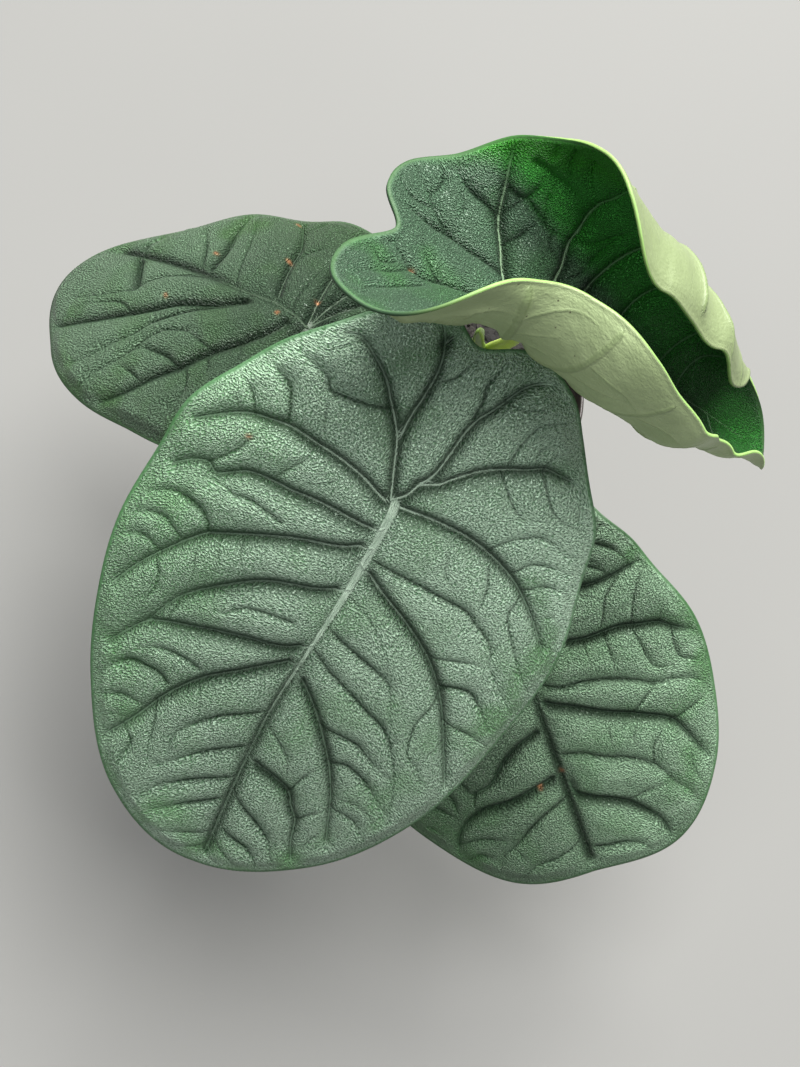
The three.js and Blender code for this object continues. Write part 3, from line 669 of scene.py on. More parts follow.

# The blades: thick leathery leaves, deeply quilted between sunken veins. The upper face is dark grey-green
# and finely wrinkled along the veins, the margin a narrow smooth green band, the underside pale. Painted
# shade darkens the upper face in its valleys, creases and wrinkle grooves and where the other leaves shadow
# it, and painted light shines through the young leaf's rolled half.

# The veins that can be seen, by kind from the midrib to the faintest. Each is a list of the points that it
# passes, in mm along the midrib and across it.
VEINS = {
    "front": {
        "midrib": [
            [(0, 0), (33, 0), (51, 1), (70, 2), (93, 3), (116, 2), (142, 0), (163, -2)],
        ],
        "main": [
            [(-1, 2), (-11, 6), (-19, 9), (-23, 11), (-32, 18), (-37, 22), (-43, 30), (-46, 36), (-45, 40)],
            [(-22, 9), (-29, 9), (-38, 8), (-48, 8), (-56, 10), (-61, 13)], [(-56, 10), (-63, 7)],
            [(-1, 2), (-5, -2), (-10, -4), (-15, -7), (-26, -9), (-33, -10), (-39, -12), (-44, -15),
             (-48, -17), (-54, -20), (-58, -24), (-60, -29), (-58, -34)],
            [(-10, -4), (-13, -10), (-17, -14), (-23, -21), (-27, -28), (-30, -35), (-33, -41),
             (-33, -48), (-33, -52), (-30, -57), (-22, -61)],
            [(0, 4), (-4, 14), (-6, 23), (-7, 33), (-8, 43), (-7, 51), (-6, 56), (-4, 61), (1, 68),
             (5, 73)],
            [(17, 0), (19, 4), (22, 9), (28, 27), (38, 48), (41, 53), (48, 59), (55, 64), (63, 69),
             (74, 74)],
            [(9, 0), (11, 4), (11, 12), (11, 23), (12, 33), (12, 40), (13, 49), (16, 54), (19, 59),
             (17, 63), (19, 68), (23, 73)],
            [(114, 3), (117, -3), (119, -10), (123, -18), (129, -22), (134, -26), (144, -29),
             (153, -33)], [(72, 3), (83, -9), (96, -20), (113, -31), (138, -41)],
            [(24, 1), (31, -10), (39, -25), (48, -38), (61, -50), (79, -61), (99, -72)],
            [(0, -1), (-1, -15), (1, -33), (8, -51), (18, -64), (28, -74)],
            [(69, 2), (72, 7), (82, 19), (92, 30), (105, 39), (121, 46), (135, 53)],
            [(61, 2), (66, 9), (70, 25), (75, 41), (82, 57), (96, 66)],
            [(35, 0), (40, 8), (46, 26), (55, 39), (67, 51), (81, 57)],
        ],
        "strong": [
            [(-39, -10), (-45, -10), (-50, -9), (-55, -10), (-60, -11), (-62, -10)],
            [(40, 52), (36, 54), (33, 58), (32, 64), (32, 69), (34, 73), (37, 77)],
            [(100, 41), (98, 45), (98, 50), (99, 56), (104, 61), (113, 65)],
            [(92, 3), (98, 12), (102, 18), (108, 24), (113, 28), (119, 30), (125, 29)],
            [(-10, 45), (-16, 47), (-21, 50), (-24, 56), (-25, 60)],
            [(-29, 16), (-27, 24), (-26, 32), (-26, 37), (-29, 39), (-31, 43), (-33, 51)],
            [(124, 1), (127, 6), (131, 13), (136, 20), (141, 26), (149, 31)],
            [(135, 1), (138, 5), (143, 12), (148, 19), (152, 24)],
            [(19, 0), (21, -3), (22, -13), (23, -24), (24, -33), (25, -41), (28, -46), (32, -53),
             (36, -57), (41, -59), (47, -65), (53, -72), (58, -78)],
            [(57, -47), (55, -52), (55, -59), (60, -66), (67, -73)],
            [(51, 1), (54, -6), (57, -15), (60, -24), (63, -30), (70, -34), (78, -38)],
            [(62, 0), (67, -8), (71, -17), (76, -27), (81, -37), (89, -44), (99, -50), (109, -54),
             (117, -57)], [(90, -16), (90, -24), (91, -31), (95, -38), (98, -44), (100, -49)],
            [(103, -26), (101, -31), (103, -37), (107, -44), (112, -50), (116, -55)],
            [(131, 1), (136, -5), (141, -13), (147, -21), (154, -25), (160, -28)],
            [(148, 0), (152, -7), (155, -16), (160, -21), (165, -23)],
            [(108, 2), (111, 6), (119, 17), (133, 31)],
        ],
        "middle": [
            [(46, 60), (44, 63), (42, 68), (43, 73), (45, 77), (48, 79)],
            [(55, 64), (53, 67), (52, 70), (53, 75), (57, 79)],
            [(58, 64), (62, 61), (68, 60), (73, 61), (79, 59)],
            [(55, 12), (56, 21), (58, 29), (63, 35), (64, 41)], [(69, 50), (75, 51), (78, 51)],
            [(88, 33), (87, 38), (87, 43), (88, 49), (91, 54), (93, 56)],
            [(113, 46), (113, 52), (115, 56), (120, 62)], [(109, 42), (115, 39), (123, 37), (132, 35)],
            [(126, 47), (129, 43), (137, 43), (144, 43)],
            [(23, 32), (22, 37), (21, 44), (22, 50), (21, 56), (22, 64)],
            [(17, 63), (12, 59), (6, 55), (1, 53), (-4, 51)], [(9, 40), (4, 37), (-1, 34), (-6, 33)],
            [(-7, 56), (-12, 59), (-15, 62), (-16, 65)],
            [(152, -1), (155, 3), (157, 9), (159, 15), (160, 18)],
            [(159, -2), (162, 2), (164, 7), (165, 9)], [(7, -40), (14, -43), (22, -44), (26, -45)],
            [(13, -56), (20, -55), (25, -58), (32, -64), (41, -72), (47, -79)],
            [(47, -37), (45, -44), (43, -51), (42, -57)], [(70, -56), (71, -64), (73, -72), (75, -77)],
            [(56, -49), (65, -48), (73, -46), (80, -47), (88, -50), (91, -55), (96, -59)],
            [(122, -36), (122, -40), (124, -46), (130, -52)],
            [(1, -37), (-3, -39), (-8, -45), (-11, -52), (-9, -61), (-8, -67)],
            [(5, -49), (0, -53), (-2, -61), (-2, -68)], [(10, -56), (6, -61), (5, -67), (6, -72)],
            [(-25, -28), (-20, -33), (-16, -38), (-15, -43), (-18, -49)],
            [(-31, -41), (-26, -45), (-21, -50), (-19, -56), (-19, -61)],
            [(123, -18), (115, -19), (107, -22), (104, -24)], [(98, 1), (103, -6), (108, -11), (115, -14)],
            [(134, -26), (128, -29), (123, -34)], [(154, -1), (159, -6), (163, -12), (166, -18)],
            [(164, -2), (167, -8), (168, -14)],
            [(-30, -28), (-35, -28), (-40, -29), (-46, -31), (-49, -35), (-51, -39)],
            [(-45, 5), (-48, 2), (-53, 0), (-57, -2)],
        ],
        "thin": [
            [(44, 53), (49, 52), (55, 50), (61, 50)], [(40, 47), (45, 45), (50, 43)],
            [(36, 40), (41, 38), (45, 36)], [(121, 49), (122, 52), (126, 57)],
            [(95, 30), (100, 27), (107, 25)], [(6, 29), (3, 24), (0, 22), (-3, 20)], [(-7, 62), (-10, 64)],
            [(-13, 33), (-19, 35), (-25, 37)], [(-45, 35), (-42, 38), (-38, 43), (-38, 48)],
            [(7, -24), (15, -27), (19, -32), (24, -35)], [(25, -68), (29, -67), (32, -65)],
            [(37, 0), (40, -9), (46, -17), (52, -23), (59, -27)], [(77, -60), (83, -57), (89, -55)],
            [(116, -36), (115, -41), (117, -47), (120, -52)], [(18, -65), (15, -70), (17, -76)],
            [(143, -34), (137, -35), (132, -37)], [(-34, -36), (-39, -35), (-42, -38)],
            [(-33, -40), (-39, -41), (-42, -45)], [(-48, -18), (-48, -23), (-51, -28), (-56, -33)],
            [(-49, -16), (-53, -14), (-58, -15)],
        ],
    },
    "left": {
        "midrib": [
            [(0, 0), (19, 6), (36, 8), (51, 11), (68, 14), (92, 17), (122, 20)],
        ],
        "main": [
            [(7, 2), (11, -5), (23, -15), (36, -24), (47, -33), (58, -40), (69, -48), (84, -56)],
            [(29, 7), (31, 5), (45, -1), (64, -5), (76, -10), (95, -16), (111, -20), (133, -24)],
            [(19, 7), (23, 18), (26, 29), (29, 42), (39, 58)], [(59, 14), (60, 27), (64, 41), (65, 51)],
        ],
        "strong": [
            [(31, 7), (35, 2), (56, -8), (71, -17), (78, -24), (87, -30), (96, -37), (108, -42)],
            [(47, -33), (54, -30), (62, -29), (69, -29), (76, -33)],
            [(62, 13), (64, 16), (69, 25), (83, 43)],
        ],
        "middle": [
            [(50, -17), (61, -19), (67, -23), (73, -30), (80, -37), (89, -44), (96, -51)],
            [(34, -22), (42, -20), (50, -17)], [(65, -42), (70, -40), (78, -38)],
            [(35, -25), (32, -31), (33, -37)], [(43, -32), (40, -37), (39, -44), (43, -49)],
            [(40, 9), (42, 12), (47, 25), (52, 39), (58, 51)], [(25, 29), (22, 37), (15, 43), (13, 45)],
            [(7, 2), (9, 6), (10, 11), (10, 25), (10, 35)], [(2, 1), (2, 4), (-1, 15), (-3, 21)],
            [(53, 11), (68, 9), (81, 5), (92, -2), (106, -7), (125, -10)],
            [(85, -14), (93, -10), (101, -10), (116, -13)],
        ],
        "thin": [
            [(23, -16), (20, -22), (21, -27)], [(33, 52), (27, 60), (24, 67)],
        ],
    },
    "right": {
        "midrib": [
            [(0, 0), (40, 0), (80, 0), (110, 0), (134, 0)],
        ],
        "main": [
            [(53, 0), (57, -5), (62, -15), (68, -26), (73, -37), (81, -51), (88, -55), (96, -58),
             (104, -61)],
            [(93, 0), (94, -2), (100, -3), (104, -8), (108, -16), (112, -23), (118, -29), (125, -34),
             (135, -36)], [(65, 0), (68, 4), (71, 12), (77, 21), (85, 29), (88, 37)],
            [(89, 0), (90, 2), (93, 12), (96, 24), (97, 36), (100, 43), (106, 50), (116, 54)],
            [(33, -21), (34, -27), (34, -35), (34, -42), (36, -50), (38, -58), (42, -63), (45, -68),
             (48, -73)],
        ],
        "strong": [
            [(78, 0), (80, -3), (82, -11), (87, -20), (90, -28), (96, -37), (101, -41), (108, -44),
             (113, -48), (122, -52)], [(127, 0), (129, -8), (130, -16), (133, -23), (139, -27)],
            [(43, 0), (50, -10), (51, -21), (53, -30), (58, -42), (62, -49), (63, -56), (68, -66),
             (76, -71)], [(100, 0), (101, 2), (104, 9), (109, 18), (115, 26), (121, 35), (130, 39)],
        ],
        "middle": [
            [(97, -38), (89, -40), (83, -45)], [(110, -24), (108, -32), (107, -41)],
            [(81, -51), (79, -58), (76, -66)], [(72, -36), (67, -42), (62, -49)],
            [(88, 37), (94, 39), (96, 37)], [(81, 41), (86, 39), (89, 38)],
            [(121, 0), (124, 4), (127, 13), (128, 23), (132, 29), (135, 31)],
            [(112, 52), (110, 43), (111, 36), (113, 27)], [(121, 52), (118, 44), (121, 37)],
            [(83, 49), (89, 47), (99, 47)], [(89, 57), (94, 52), (99, 47)],
            [(30, -35), (26, -37), (19, -40), (14, -46), (9, -51), (6, -54)],
            [(34, -47), (27, -49), (21, -52), (15, -56), (13, -60)], [(3, -35), (7, -41), (12, -45)],
            [(-6, -40), (-9, -45), (-10, -47), (-7, -52), (-1, -55), (4, -58)],
            [(35, -35), (44, -35), (50, -35)], [(38, -47), (44, -48), (51, -49), (55, -51), (57, -57)],
            [(43, -62), (48, -61), (55, -62), (58, -66), (61, -71)],
        ],
        "thin": [
            [(74, -25), (82, -24)], [(77, -36), (83, -33), (88, -35)], [(98, -54), (105, -53), (115, -56)],
            [(99, 62), (103, 58), (108, 58)], [(118, 28), (125, 25)], [(37, -58), (32, -60), (29, -65)],
            [(14, -29), (17, -35), (20, -39)], [(35, -26), (41, -26), (46, -27)],
        ],
    },
    "young": {
        "midrib": [
            [(0, 0), (35, 0), (70, 0), (104, 0)],
        ],
        "main": [
            [(11, -12), (11, -17), (9, -24), (9, -28), (8, -34), (8, -39), (9, -44), (8, -55)],
            [(-5, -2), (-7, -6), (-11, -14), (-15, -20), (-19, -29), (-23, -39), (-24, -44)],
            [(37, 0), (39, -19), (42, -28), (45, -40), (52, -52), (58, -58)],
            [(68, 0), (70, -15), (73, -19), (77, -24), (84, -32)],
            [(57, 0), (62, -22), (63, -29), (70, -42)],
        ],
        "strong": [
            [(-9, -5), (-16, -6), (-22, -7), (-28, -9), (-33, -12), (-37, -16), (-39, -19), (-42, -22),
             (-44, -25), (-45, -26)],
            [(-18, 8), (-24, 9), (-28, 9), (-31, 7), (-34, 4), (-36, 2), (-37, 0)],
            [(-28, 9), (-32, 11), (-36, 11), (-39, 10), (-42, 8), (-45, 6), (-46, 3)],
            [(-17, -21), (-22, -23), (-28, -25), (-32, -28), (-34, -31), (-34, -33)],
            [(-28, -9), (-33, -9), (-39, -10), (-44, -11), (-47, -11)],
            [(-18, -30), (-13, -29), (-11, -30), (-10, -35), (-12, -40)],
            [(-10, -15), (-7, -19), (-5, -23), (-4, -26)],
            [(-9, -29), (-4, -27), (1, -25), (6, -25), (9, -25)],
            [(-16, -41), (-12, -41), (-7, -40), (-3, -40), (1, -39), (4, -38), (7, -37)],
            [(11, -26), (15, -27), (18, -31), (20, -37), (20, -39)],
            [(18, -22), (19, -26), (20, -31), (21, -36)],
        ],
        "middle": [
            [(-39, 11), (-45, 16), (-50, 19), (-54, 22), (-58, 27)],
            [(-45, 12), (-49, 14), (-52, 12), (-54, 12)],
            [(-47, 5), (-52, 7), (-56, 11), (-60, 16), (-61, 18)],
            [(-35, 16), (-40, 20), (-45, 24), (-51, 29), (-54, 32), (-55, 37)],
            [(-39, -19), (-37, -23), (-37, -27), (-39, -30)],
            [(-38, -15), (-41, -15), (-45, -16), (-48, -18), (-49, -19)],
            [(-15, -23), (-13, -27), (-11, -30)], [(2, -25), (3, -21), (6, -19), (9, -18)],
            [(-2, -27), (-5, -32), (-6, -36), (-7, -39)], [(-15, -51), (-14, -47), (-13, -44), (-12, -42)],
            [(-11, -55), (-8, -49), (-5, -44), (-3, -40)], [(-4, -55), (-1, -49), (3, -44), (7, -42)],
            [(15, -15), (17, -17), (19, -22)],
        ],
        "thin": [
            [(-30, -23), (-28, -20), (-28, -15), (-30, -13)],
        ],
    },
}


def vein_line(points):
    """The points of a vein as an even line, 0.6 mm apart."""
    line = through(points, 12)
    length = np.linalg.norm(np.diff(line, axis=0), axis=1).sum()
    return even(line, max(3, int(length / 0.6)))


def guessed_veins(leaf):
    """Main veins for the hidden parts, and the lesser ones that branch between them like a ladder."""
    mains = []
    for start, by, turn in leaf["hidden"]:
        turn = math.radians(turn)
        radius = 0.94 * float(edge_radius(leaf, turn))
        mains.append(vein_line([(start, 0), *by, (radius * math.cos(turn), radius * math.sin(turn))]))
    rungs = []
    # four rungs between two main veins, unevenly spaced, and every other one forks off and ends between them
    for k, m in leaf["ladder"]:
        a, b = even(mains[k], 41), even(mains[m], 41)
        for j, place in enumerate((10, 17, 24, 31)):
            shift = (3, -2, 2, -3)[(j + k) % 4]
            p, q = a[place], b[min(40, place + 4 + shift)]
            out = (a[place] + b[place]) / 2
            out = out / np.linalg.norm(out)
            middle = (p + q) / 2 + out * 4
            if j % 2:
                rungs.append(vein_line([p, middle, q]))
            else:
                rungs.append(vein_line([p, p * 0.45 + middle * 0.55 + out * 2, middle + out * 5]))
    return mains, rungs


def margin_distance(margin, flat):
    """Distance from places on the blade to its margin, in mm."""
    tree = KDTree(len(margin))
    for k, (x, y) in enumerate(margin):
        tree.insert((x, y, 0.0), k)
    tree.balance()
    return np.array([tree.find((x, y, 0.0))[2] for x, y in flat])


def beside(line, flat, reach):
    """The places within reach of a line: their numbers, signed distances to it, how far along it they are
    as a share of it, and its heading there."""
    low, high = line.min(0) - reach, line.max(0) + reach
    close = np.nonzero(((flat > low) & (flat < high)).all(axis=1))[0]
    heading = np.gradient(line, axis=0)
    heading /= np.maximum(np.linalg.norm(heading, axis=1), 1e-6)[:, None]
    gap = ((flat[close][:, None, :] - line[None]) ** 2).sum(axis=2)
    index = gap.argmin(axis=1)
    offset = flat[close] - line[index]
    ahead = heading[index]
    aside = ahead[:, 0] * offset[:, 1] - ahead[:, 1] * offset[:, 0]
    end = (index == 0) | (index == len(line) - 1)
    away = np.where(end, np.copysign(np.sqrt(gap.min(axis=1)), aside), aside)
    return close, away, index / (len(line) - 1), ahead


CELLS = 216
THICKNESS = 1.1
VEIN_REACH = 14.0  # how far from a vein its valley is felt


def places_on_leaf(leaf, mesh):
    """A square grid wrapped onto the leaf's outline: its points on the flat leaf, and how far each lies
    inside the margin."""
    spots = np.empty(len(mesh.vertices) * 3)
    mesh.vertices.foreach_get("co", spots)
    x, y = spots.reshape(-1, 3)[:, 0], spots.reshape(-1, 3)[:, 1]

    # square to disc: share is 0 in the middle and 1 on the margin, turn runs round
    share = np.maximum(np.abs(x), np.abs(y))
    wide = np.abs(x) >= np.abs(y)
    safe = np.where(share < 1e-9, 1.0, share)
    sideways = np.where(x >= 0, y / safe, 4 - y / safe)
    upward = np.where(y >= 0, 2 - x / safe, 6 + x / safe)
    turn = (np.where(wide, sideways, upward) / 8) % 1.0

    angles = np.linspace(0, 2 * math.pi, 1441)
    radii = edge_radius(leaf, (angles + math.pi) % (2 * math.pi) - math.pi)
    margin = np.stack([radii * np.cos(angles), radii * np.sin(angles)], axis=1)
    lengths = np.concatenate([[0], np.cumsum(np.linalg.norm(np.diff(margin, axis=0), axis=1))])
    wanted = turn * lengths[-1]
    rim = np.stack([np.interp(wanted, lengths, margin[:, k]) for k in (0, 1)], axis=1)
    centre = np.array([leaf["near"][0] * 0.28, 0.0])
    flat = centre + (rim - centre) * share[:, None]
    return flat, margin_distance(margin[::2], flat)


def sunken_veins(leaf, seen_veins, flat):
    """How deep the veins' valleys are at each place, what the nearest vein of each group is like, and the
    way that the wrinkles run."""
    # each kind of vein: how deep it lies, how wide its valley is and half of its flat floor, in mm
    kinds = {"midrib": (3.0, 2.2, 1.4), "main": (QUILT, 1.9, 0.3), "strong": (3.6, 1.5, 0.2),
             "middle": (2.6, 1.2, 0.15), "thin": (1.4, 1.0, 0.1)}
    veins = {kind: [vein_line(points) for points in seen_veins[kind]] for kind in kinds}
    mains, rungs = guessed_veins(leaf)
    veins["main"] += mains
    veins["middle"] += rungs
    count = len(flat)
    valley = np.zeros(count)
    # for each group the nearest vein's signed distance, plain distance and strength
    threads = {group: np.stack([np.full(count, 9.0), np.full(count, 9.0), np.zeros(count)], axis=1)
               for group in ("rib", "deep", "side")}
    direction = np.zeros((count, 2))
    pull = np.full(count, 1e-4)
    for kind, (depth, width, half_floor) in kinds.items():
        if kind == "main":
            rib_valley = valley ** (1 / 3)
        group = {"midrib": "rib", "main": "deep"}.get(kind, "side")
        for line in veins[kind]:
            close, signed, place, ahead = beside(line, flat, VEIN_REACH)
            away = np.abs(signed)
            strength = depth * (1 - (0.35 if group != "side" else 0.6) * smooth_step(place, 0.4, 1.0))
            if kind == "midrib":
                # deeper and narrower toward the tip
                strength = depth * (1 + 0.8 * smooth_step(place, 0.25, 0.6))
                half_floor = 1.4 - 1.1 * smooth_step(place, 0.15, 0.6)
            outer = np.maximum(0, away - half_floor)
            dip = strength * (0.5 * np.exp(-outer / width) + 0.5 * np.exp(-outer / (3.6 * width)))
            dip *= 1 - smooth_step(away, 9.0, VEIN_REACH)
            valley[close] += dip ** 3
            field = threads[group]
            nearer = away < field[close, 1]
            share_left = strength / depth * min(1, depth / 2)
            field[close[nearer]] = np.stack([signed, away, share_left], axis=1)[nearer]
            weight = depth / (away + 1.5) ** 2
            double = np.stack([ahead[:, 0] ** 2 - ahead[:, 1] ** 2, 2 * ahead[:, 0] * ahead[:, 1]], axis=1)
            direction[close] += double * weight[:, None]
            pull[close] += weight
    valley = np.minimum(valley ** (1 / 3), QUILT)
    # beside the midrib only its own valley counts
    by_rib = 1 - smooth_step(threads["rib"][:, 1], 1.2, 4.5)
    by_rib = by_rib * smooth_step(flat[:, 0], -2, 6)
    valley += (rib_valley - valley) * by_rib
    return valley, threads, direction / pull[:, None]


def blade_body(name, leaf, seen_veins, finishes):
    """One blade: a square grid wrapped onto the leaf's outline, raised between its veins, bent to the
    leaf's form and given its thickness."""
    shape = bmesh.new()
    bmesh.ops.create_grid(shape, x_segments=CELLS, y_segments=CELLS, size=1.0)
    bmesh.ops.reverse_faces(shape, faces=shape.faces)
    mesh = new_mesh(name, shape)
    flat, inside = places_on_leaf(leaf, mesh)
    along, across = flat[:, 0], flat[:, 1]
    valley, threads, grain_way = sunken_veins(leaf, seen_veins, flat)
    fade = smooth_step(inside, 0.8, 8.0)
    rolled_near = smooth_step(across, 10, 35) * smooth_step(along, -30, 0)
    rolled = np.maximum(smooth_step(along, 20, 70), rolled_near)
    calm = 1 - leaf["calm"] * rolled
    joint = 1 - smooth_step(np.hypot(along, across), 6, 34)
    relief = leaf["relief"] * calm * (leaf["puff"] - valley + JOINT_RISE * joint) * fade
    relief += 0.3 * leaf["relief"] * np.exp(-((inside - 1.4) / 1.2) ** 2)
    small = np.array([noise.noise(Vector((a / 3.0, b / 3.0, 1.7))) for a, b in flat])
    relief += 0.18 * small * fade

    angle = np.arctan2(across, along)
    wave = leaf["wave"][0] * (np.hypot(along, across) / edge_radius(leaf, angle)).clip(0, 1) ** 4
    wave = wave * np.sin(leaf["wave"][1] * angle)
    spots = blade_point(leaf, along, across) + blade_normal(leaf, along, across) * (relief + wave)[:, None]
    mesh.vertices.foreach_set("co", (spots * MM).ravel())

    specks = np.zeros(len(flat))
    for a, b in leaf["specks"]:
        specks = np.maximum(specks, np.exp(-((along - a) ** 2 + (across - b) ** 2) / 0.9 ** 2))
    for label, values in (
        ("flat", np.stack([along, across, inside], axis=1)),
        ("grain", np.stack([grain_way[:, 0], grain_way[:, 1], specks], axis=1)),
        ("rib", threads["rib"]),
        ("deep", threads["deep"]),
        ("side", threads["side"]),
        ("sunken", np.stack([valley / QUILT * fade] * 3, axis=1)),
    ):
        mesh.attributes.new(label, "FLOAT_VECTOR", "POINT").data.foreach_set("vector", values.ravel())
    mesh.update()
    body = new_object(name, mesh, *finishes)
    thick = body.modifiers.new("thickness", "SOLIDIFY")
    thick.thickness = THICKNESS * MM
    thick.offset = -1.0
    thick.material_offset = 1
    thick.material_offset_rim = 2
    return body


def wrinkles(finish, flat, way, length, width):
    """Fine wrinkles that run the way the leaf's grain does: noise stretched in four fixed directions,
    blended by how close each is to the grain, and even noise where the grain has no direction."""
    height = 0.0
    shares = 0.0
    for k in range(4):
        turn = k * math.pi / 4
        toward = (math.cos(2 * turn), math.sin(2 * turn), 0.0)
        share = finish.node("VectorMath", {"operation": "DOT_PRODUCT"}, {0: way, 1: toward}, "Value")
        share = share.at_least(0.0)
        share = share * share
        laid = finish.node("Mapping", {"vector_type": "TEXTURE"}, {
            "Vector": flat, "Location": (37.0 * k, 11.0 * k, 0.0), "Rotation": (0.0, 0.0, turn),
            "Scale": (length, width, 1.0)})
        height = share * finish.grain(laid, 1.0, 1.5, 0.5) + height
        shares = share + shares
    even_grain = finish.grain(flat, 1.25 / (length * width) ** 0.5, 1.5)
    return height + (1 - shares).at_least(0.0) * even_grain


def thread(finish, label):
    """The distance to the nearest vein of a kind, in mm, sharp at the vein itself, and its strength."""
    signed, away, strength = (finish.measure(finish.field(label), k) for k in range(3))
    return signed.size().at_least(away - 0.9), strength


def leaf_top(name, tones, roughness, fineness, rib_width, painted_shade_slope, fold_green_and_glow=None):
    """The upper face's finish, from its tones: painted shade for the valleys, creases and the other leaves'
    shadows, painted shade in the wrinkles' grooves, flesh, margin band, patch and rib, and from where painted
    shade darkens the leaf for the other leaves' shadows: shares of along and across, their sum's range and
    how much. The last argument is the fresh green of a half that is still rolled, with painted light through
    it."""
    painted_shade_tone, groove_shade_tone, flesh_tone, band_tone, patch_tone, rib_tone = (tone(*shade) for shade in tones)
    finish = Finish(name, Specular_IOR_Level=0.3)
    flat = finish.field("flat")
    along, across, inside = (finish.measure(flat, k) for k in range(3))
    spread = finish.node("VectorMath", {"operation": "MULTIPLY"}, {0: flat, 1: (1.0, 1.0, 0.0)})
    way = finish.field("grain")
    specks = finish.measure(way, 2)
    way = finish.node("VectorMath", {"operation": "MULTIPLY"}, {0: way, 1: (1.0, 1.0, 0.0)})
    sunken = finish.measure(finish.field("sunken"), 0)
    rib, _ = thread(finish, "rib")
    deep, deep_strength = thread(finish, "deep")
    side, side_strength = thread(finish, "side")
    fine = wrinkles(finish, spread, way, 1.25 * fineness, 0.6 * fineness)
    streaks = finish.grain(finish.stretched(spread, 0.15, 2.4, 1.0), 1.0, 3.0)
    # painted shade: a band of the leaf darkened to stand in for the shadows that the other leaves cast on it
    toward, aside, low, high, most = painted_shade_slope
    painted_shadow = most * finish.step(toward * along + aside * across, low, high)
    cloud = finish.grain(spread, 0.035, 2.0)
    mottle = finish.grain(spread, 0.35, 3.0)

    on_band = 1 - finish.step(inside + mottle, 1.2, 2.4)
    half_rib = rib_width * (1 - 0.7 * finish.step(along, 0.0, 95.0))
    on_rib = 1 - finish.step(rib - half_rib + 0.5 * mottle, -0.3, 0.4)
    rib_fade = 1 - finish.step(along, 55.0, 115.0)
    from_joint = finish.node("VectorMath", {"operation": "LENGTH"}, {0: spread}, "Value")
    on_deep = (1 - finish.step(deep + 0.5 * mottle, 0.4, 1.0)) * finish.step(inside, 2.5, 5.0)
    on_side = (1 - finish.step(side, 0.1, 0.75)) * side_strength * finish.step(inside, 1.5, 3.5)
    on_side = on_side * (1 - on_rib)

    ridge = finish.step(fine, 0.38, 0.62)
    # painted shade in the wrinkles' grooves, with a little random mottle
    colour = finish.between(finish.step(fine, 0.38, 0.5) * 0.85 + 0.15 * mottle, groove_shade_tone, flesh_tone)
    # the painted shadows of the other leaves
    colour = finish.between(painted_shadow, colour, painted_shade_tone)
    green = 0.25 + 0.4 * (1 - finish.step(inside, 5.0, 34.0))
    colour = finish.between(finish.step(cloud, 0.48, 0.68) * green, colour, patch_tone)
    # painted shade in the valleys along the veins
    colour = finish.between(finish.step(sunken, 0.28, 0.85) * 0.8, colour, painted_shade_tone)
    # painted shade in the creases beside the lesser veins
    colour = finish.between(on_side * 0.5, colour, painted_shade_tone)
    if fold_green_and_glow:
        # the rolled half's fresh green, partly its own and partly painted light shining through it
        fold = finish.step(0.37 * along - across + 3.0 * mottle, 24.0, 34.0)
        colour = finish.between(fold * 0.8, colour, fold_green_and_glow)
        # painted shade inside the tightly rolled tip
        colour = finish.between(finish.step(along, 45.0, 80.0) * 0.6, colour, painted_shade_tone)
        # painted light shining through the rim of the rolled flap
        rim = finish.step(-across - inside, 22.0, 44.0)
        colour = finish.between(rim * 0.5, colour, tone(60, 150, 20))
    else:
        colour = finish.between(finish.step(across, 18.0, 80.0) * 0.4, colour, patch_tone)
    colour = finish.between(on_band * 0.85, colour, band_tone)
    # painted shade in the creases of the main veins
    colour = finish.between(on_deep * 0.6 * deep_strength * (1 - on_rib), colour, painted_shade_tone)
    pale = on_deep * (0.6 - 0.45 * finish.step(from_joint, 8.0, 60.0)) * deep_strength
    rough_rib = (0.2 + 0.8 * rib_fade) * (0.45 + 0.6 * finish.step(streaks, 0.4, 0.6))
    colour = finish.between((on_rib * rough_rib).at_least(pale), colour, rib_tone)
    colour = finish.between(specks * 0.9, colour, tone(172, 118, 80))
    finish.set("Base Color", colour)
    sheen = 0.1 * finish.step(sunken, 0.4, 0.9) - 0.12 * ridge + 0.2 * on_band
    finish.set("Roughness", roughness + sheen)
    rough_here = (1 - on_rib) * (1 - on_deep) * finish.step(inside, 0.8, 2.6)
    height = 2.2 * ridge * rough_here + 0.2 * mottle
    height = height + on_rib * (1.2 * streaks + 0.7 - 0.25 * rib) + 0.3 * on_deep - 0.5 * on_side
    finish.bump(height, 0.001)
    return finish


def leaf_under(name, flesh_tone, vein_tone, far_tone):
    """The underside's finish: pale, with its veins a little darker, its far half another tone and a few
    dark specks."""
    finish = Finish(name, Roughness=0.5)
    flat = finish.field("flat")
    deep, _ = thread(finish, "deep")
    side, side_strength = thread(finish, "side")
    side_line = (1 - finish.step(side, 0.1, 0.6)) * side_strength * 0.5
    line = (1 - finish.step(deep, 0.3, 1.2)).at_least(side_line)
    mottle = finish.grain(flat, 0.05, 4.0, 0.6)
    colour = finish.between(finish.step(mottle, 0.3, 0.7) * 0.4, flesh_tone, vein_tone)
    across = finish.measure(flat, 1)
    colour = finish.between(finish.step(-across, 5.0, 30.0) * 0.85, colour, far_tone)
    colour = finish.between(line * 0.5, colour, vein_tone)
    specks = finish.measure(finish.field("grain"), 2)
    finish.set("Base Color", finish.between(finish.step(specks, 0.7, 0.92), colour, tone(64, 58, 36)))
    finish.bump(finish.grain(flat, 0.9, 3.0) + line, 0.0003)
    return finish


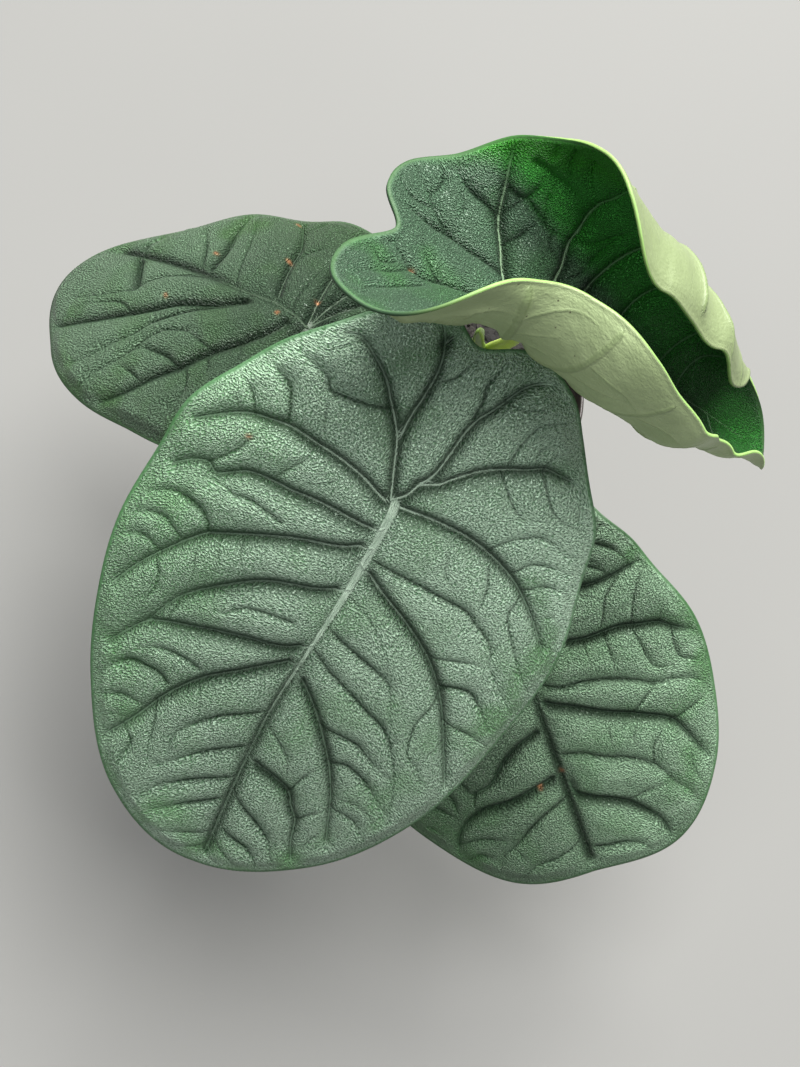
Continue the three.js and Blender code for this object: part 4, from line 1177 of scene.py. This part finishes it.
def leaf_edge(name, edge_tone, dry_tone, lobe_tone):
    """The finish of the blade's narrow edge, another tone round the lobes."""
    finish = Finish(name, Roughness=0.65)
    flat = finish.field("flat")
    mottle = finish.grain(flat, 0.3)
    along = finish.measure(flat, 0)
    colour = finish.between(mottle, edge_tone, dry_tone)
    finish.set("Base Color", finish.between(finish.step(-along, 28.0, 50.0), colour, lobe_tone))
    return finish


hidden_flesh = tone(132, 152, 112)
mature_under = leaf_under("mature_leaf_underside", hidden_flesh, tone(96, 118, 80), hidden_flesh)
mature_edge = leaf_edge("mature_leaf_margin", tone(62, 100, 56), tone(92, 126, 76), tone(62, 100, 56))
# The mature leaves' tones differ partly as the leaves themselves do and partly as painted light and shade:
# the front leaf's tones are painted lightest, the left one's darkest.
TOPS = {
    "front": leaf_top(
        "mature_leaf",
        [(4, 40, 12), (72, 110, 76), (196, 226, 198), (46, 88, 46), (90, 140, 84), (166, 186, 166)],
        roughness=0.4, fineness=1.0, rib_width=1.9, painted_shade_slope=(1, 0.5, -50, 110, 0.45)),
    "left": leaf_top(
        "mature_leaf_left",
        [(5, 28, 10), (40, 64, 40), (102, 128, 102), (38, 66, 34), (62, 100, 48), (60, 76, 58)],
        roughness=0.44, fineness=1.0, rib_width=0.7, painted_shade_slope=(-1, 0, -85, -15, 0.5)),
    "right": leaf_top(
        "mature_leaf_right",
        [(5, 30, 10), (56, 86, 58), (138, 168, 138), (42, 76, 40), (64, 112, 58), (60, 80, 62)],
        roughness=0.4, fineness=1.0, rib_width=0.8, painted_shade_slope=(0.3, 1, 15, 60, 0.45)),
    "young": leaf_top(
        "young_leaf",
        [(5, 36, 10), (40, 72, 46), (92, 120, 96), (46, 76, 40), (74, 128, 68), (132, 160, 126)],
        roughness=0.44, fineness=0.8, rib_width=1.2, painted_shade_slope=(1, 0, 200, 300, 0),
        fold_green_and_glow=tone(60, 160, 52)),
}
young_under = leaf_under("young_leaf_underside", tone(154, 170, 124), tone(112, 130, 84), tone(104, 116, 80))
young_edge = leaf_edge("young_leaf_margin", tone(112, 146, 76), tone(134, 168, 94), tone(26, 58, 28))
for name, leaf in LEAVES.items():
    under, edge = (young_under, young_edge) if name == "young" else (mature_under, mature_edge)
    blade = blade_body(f"leaf_blade_{name}", leaf, VEINS[name], [TOPS[name], under, edge])
    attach(blade, "root")
    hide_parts(f"blade_{name}")
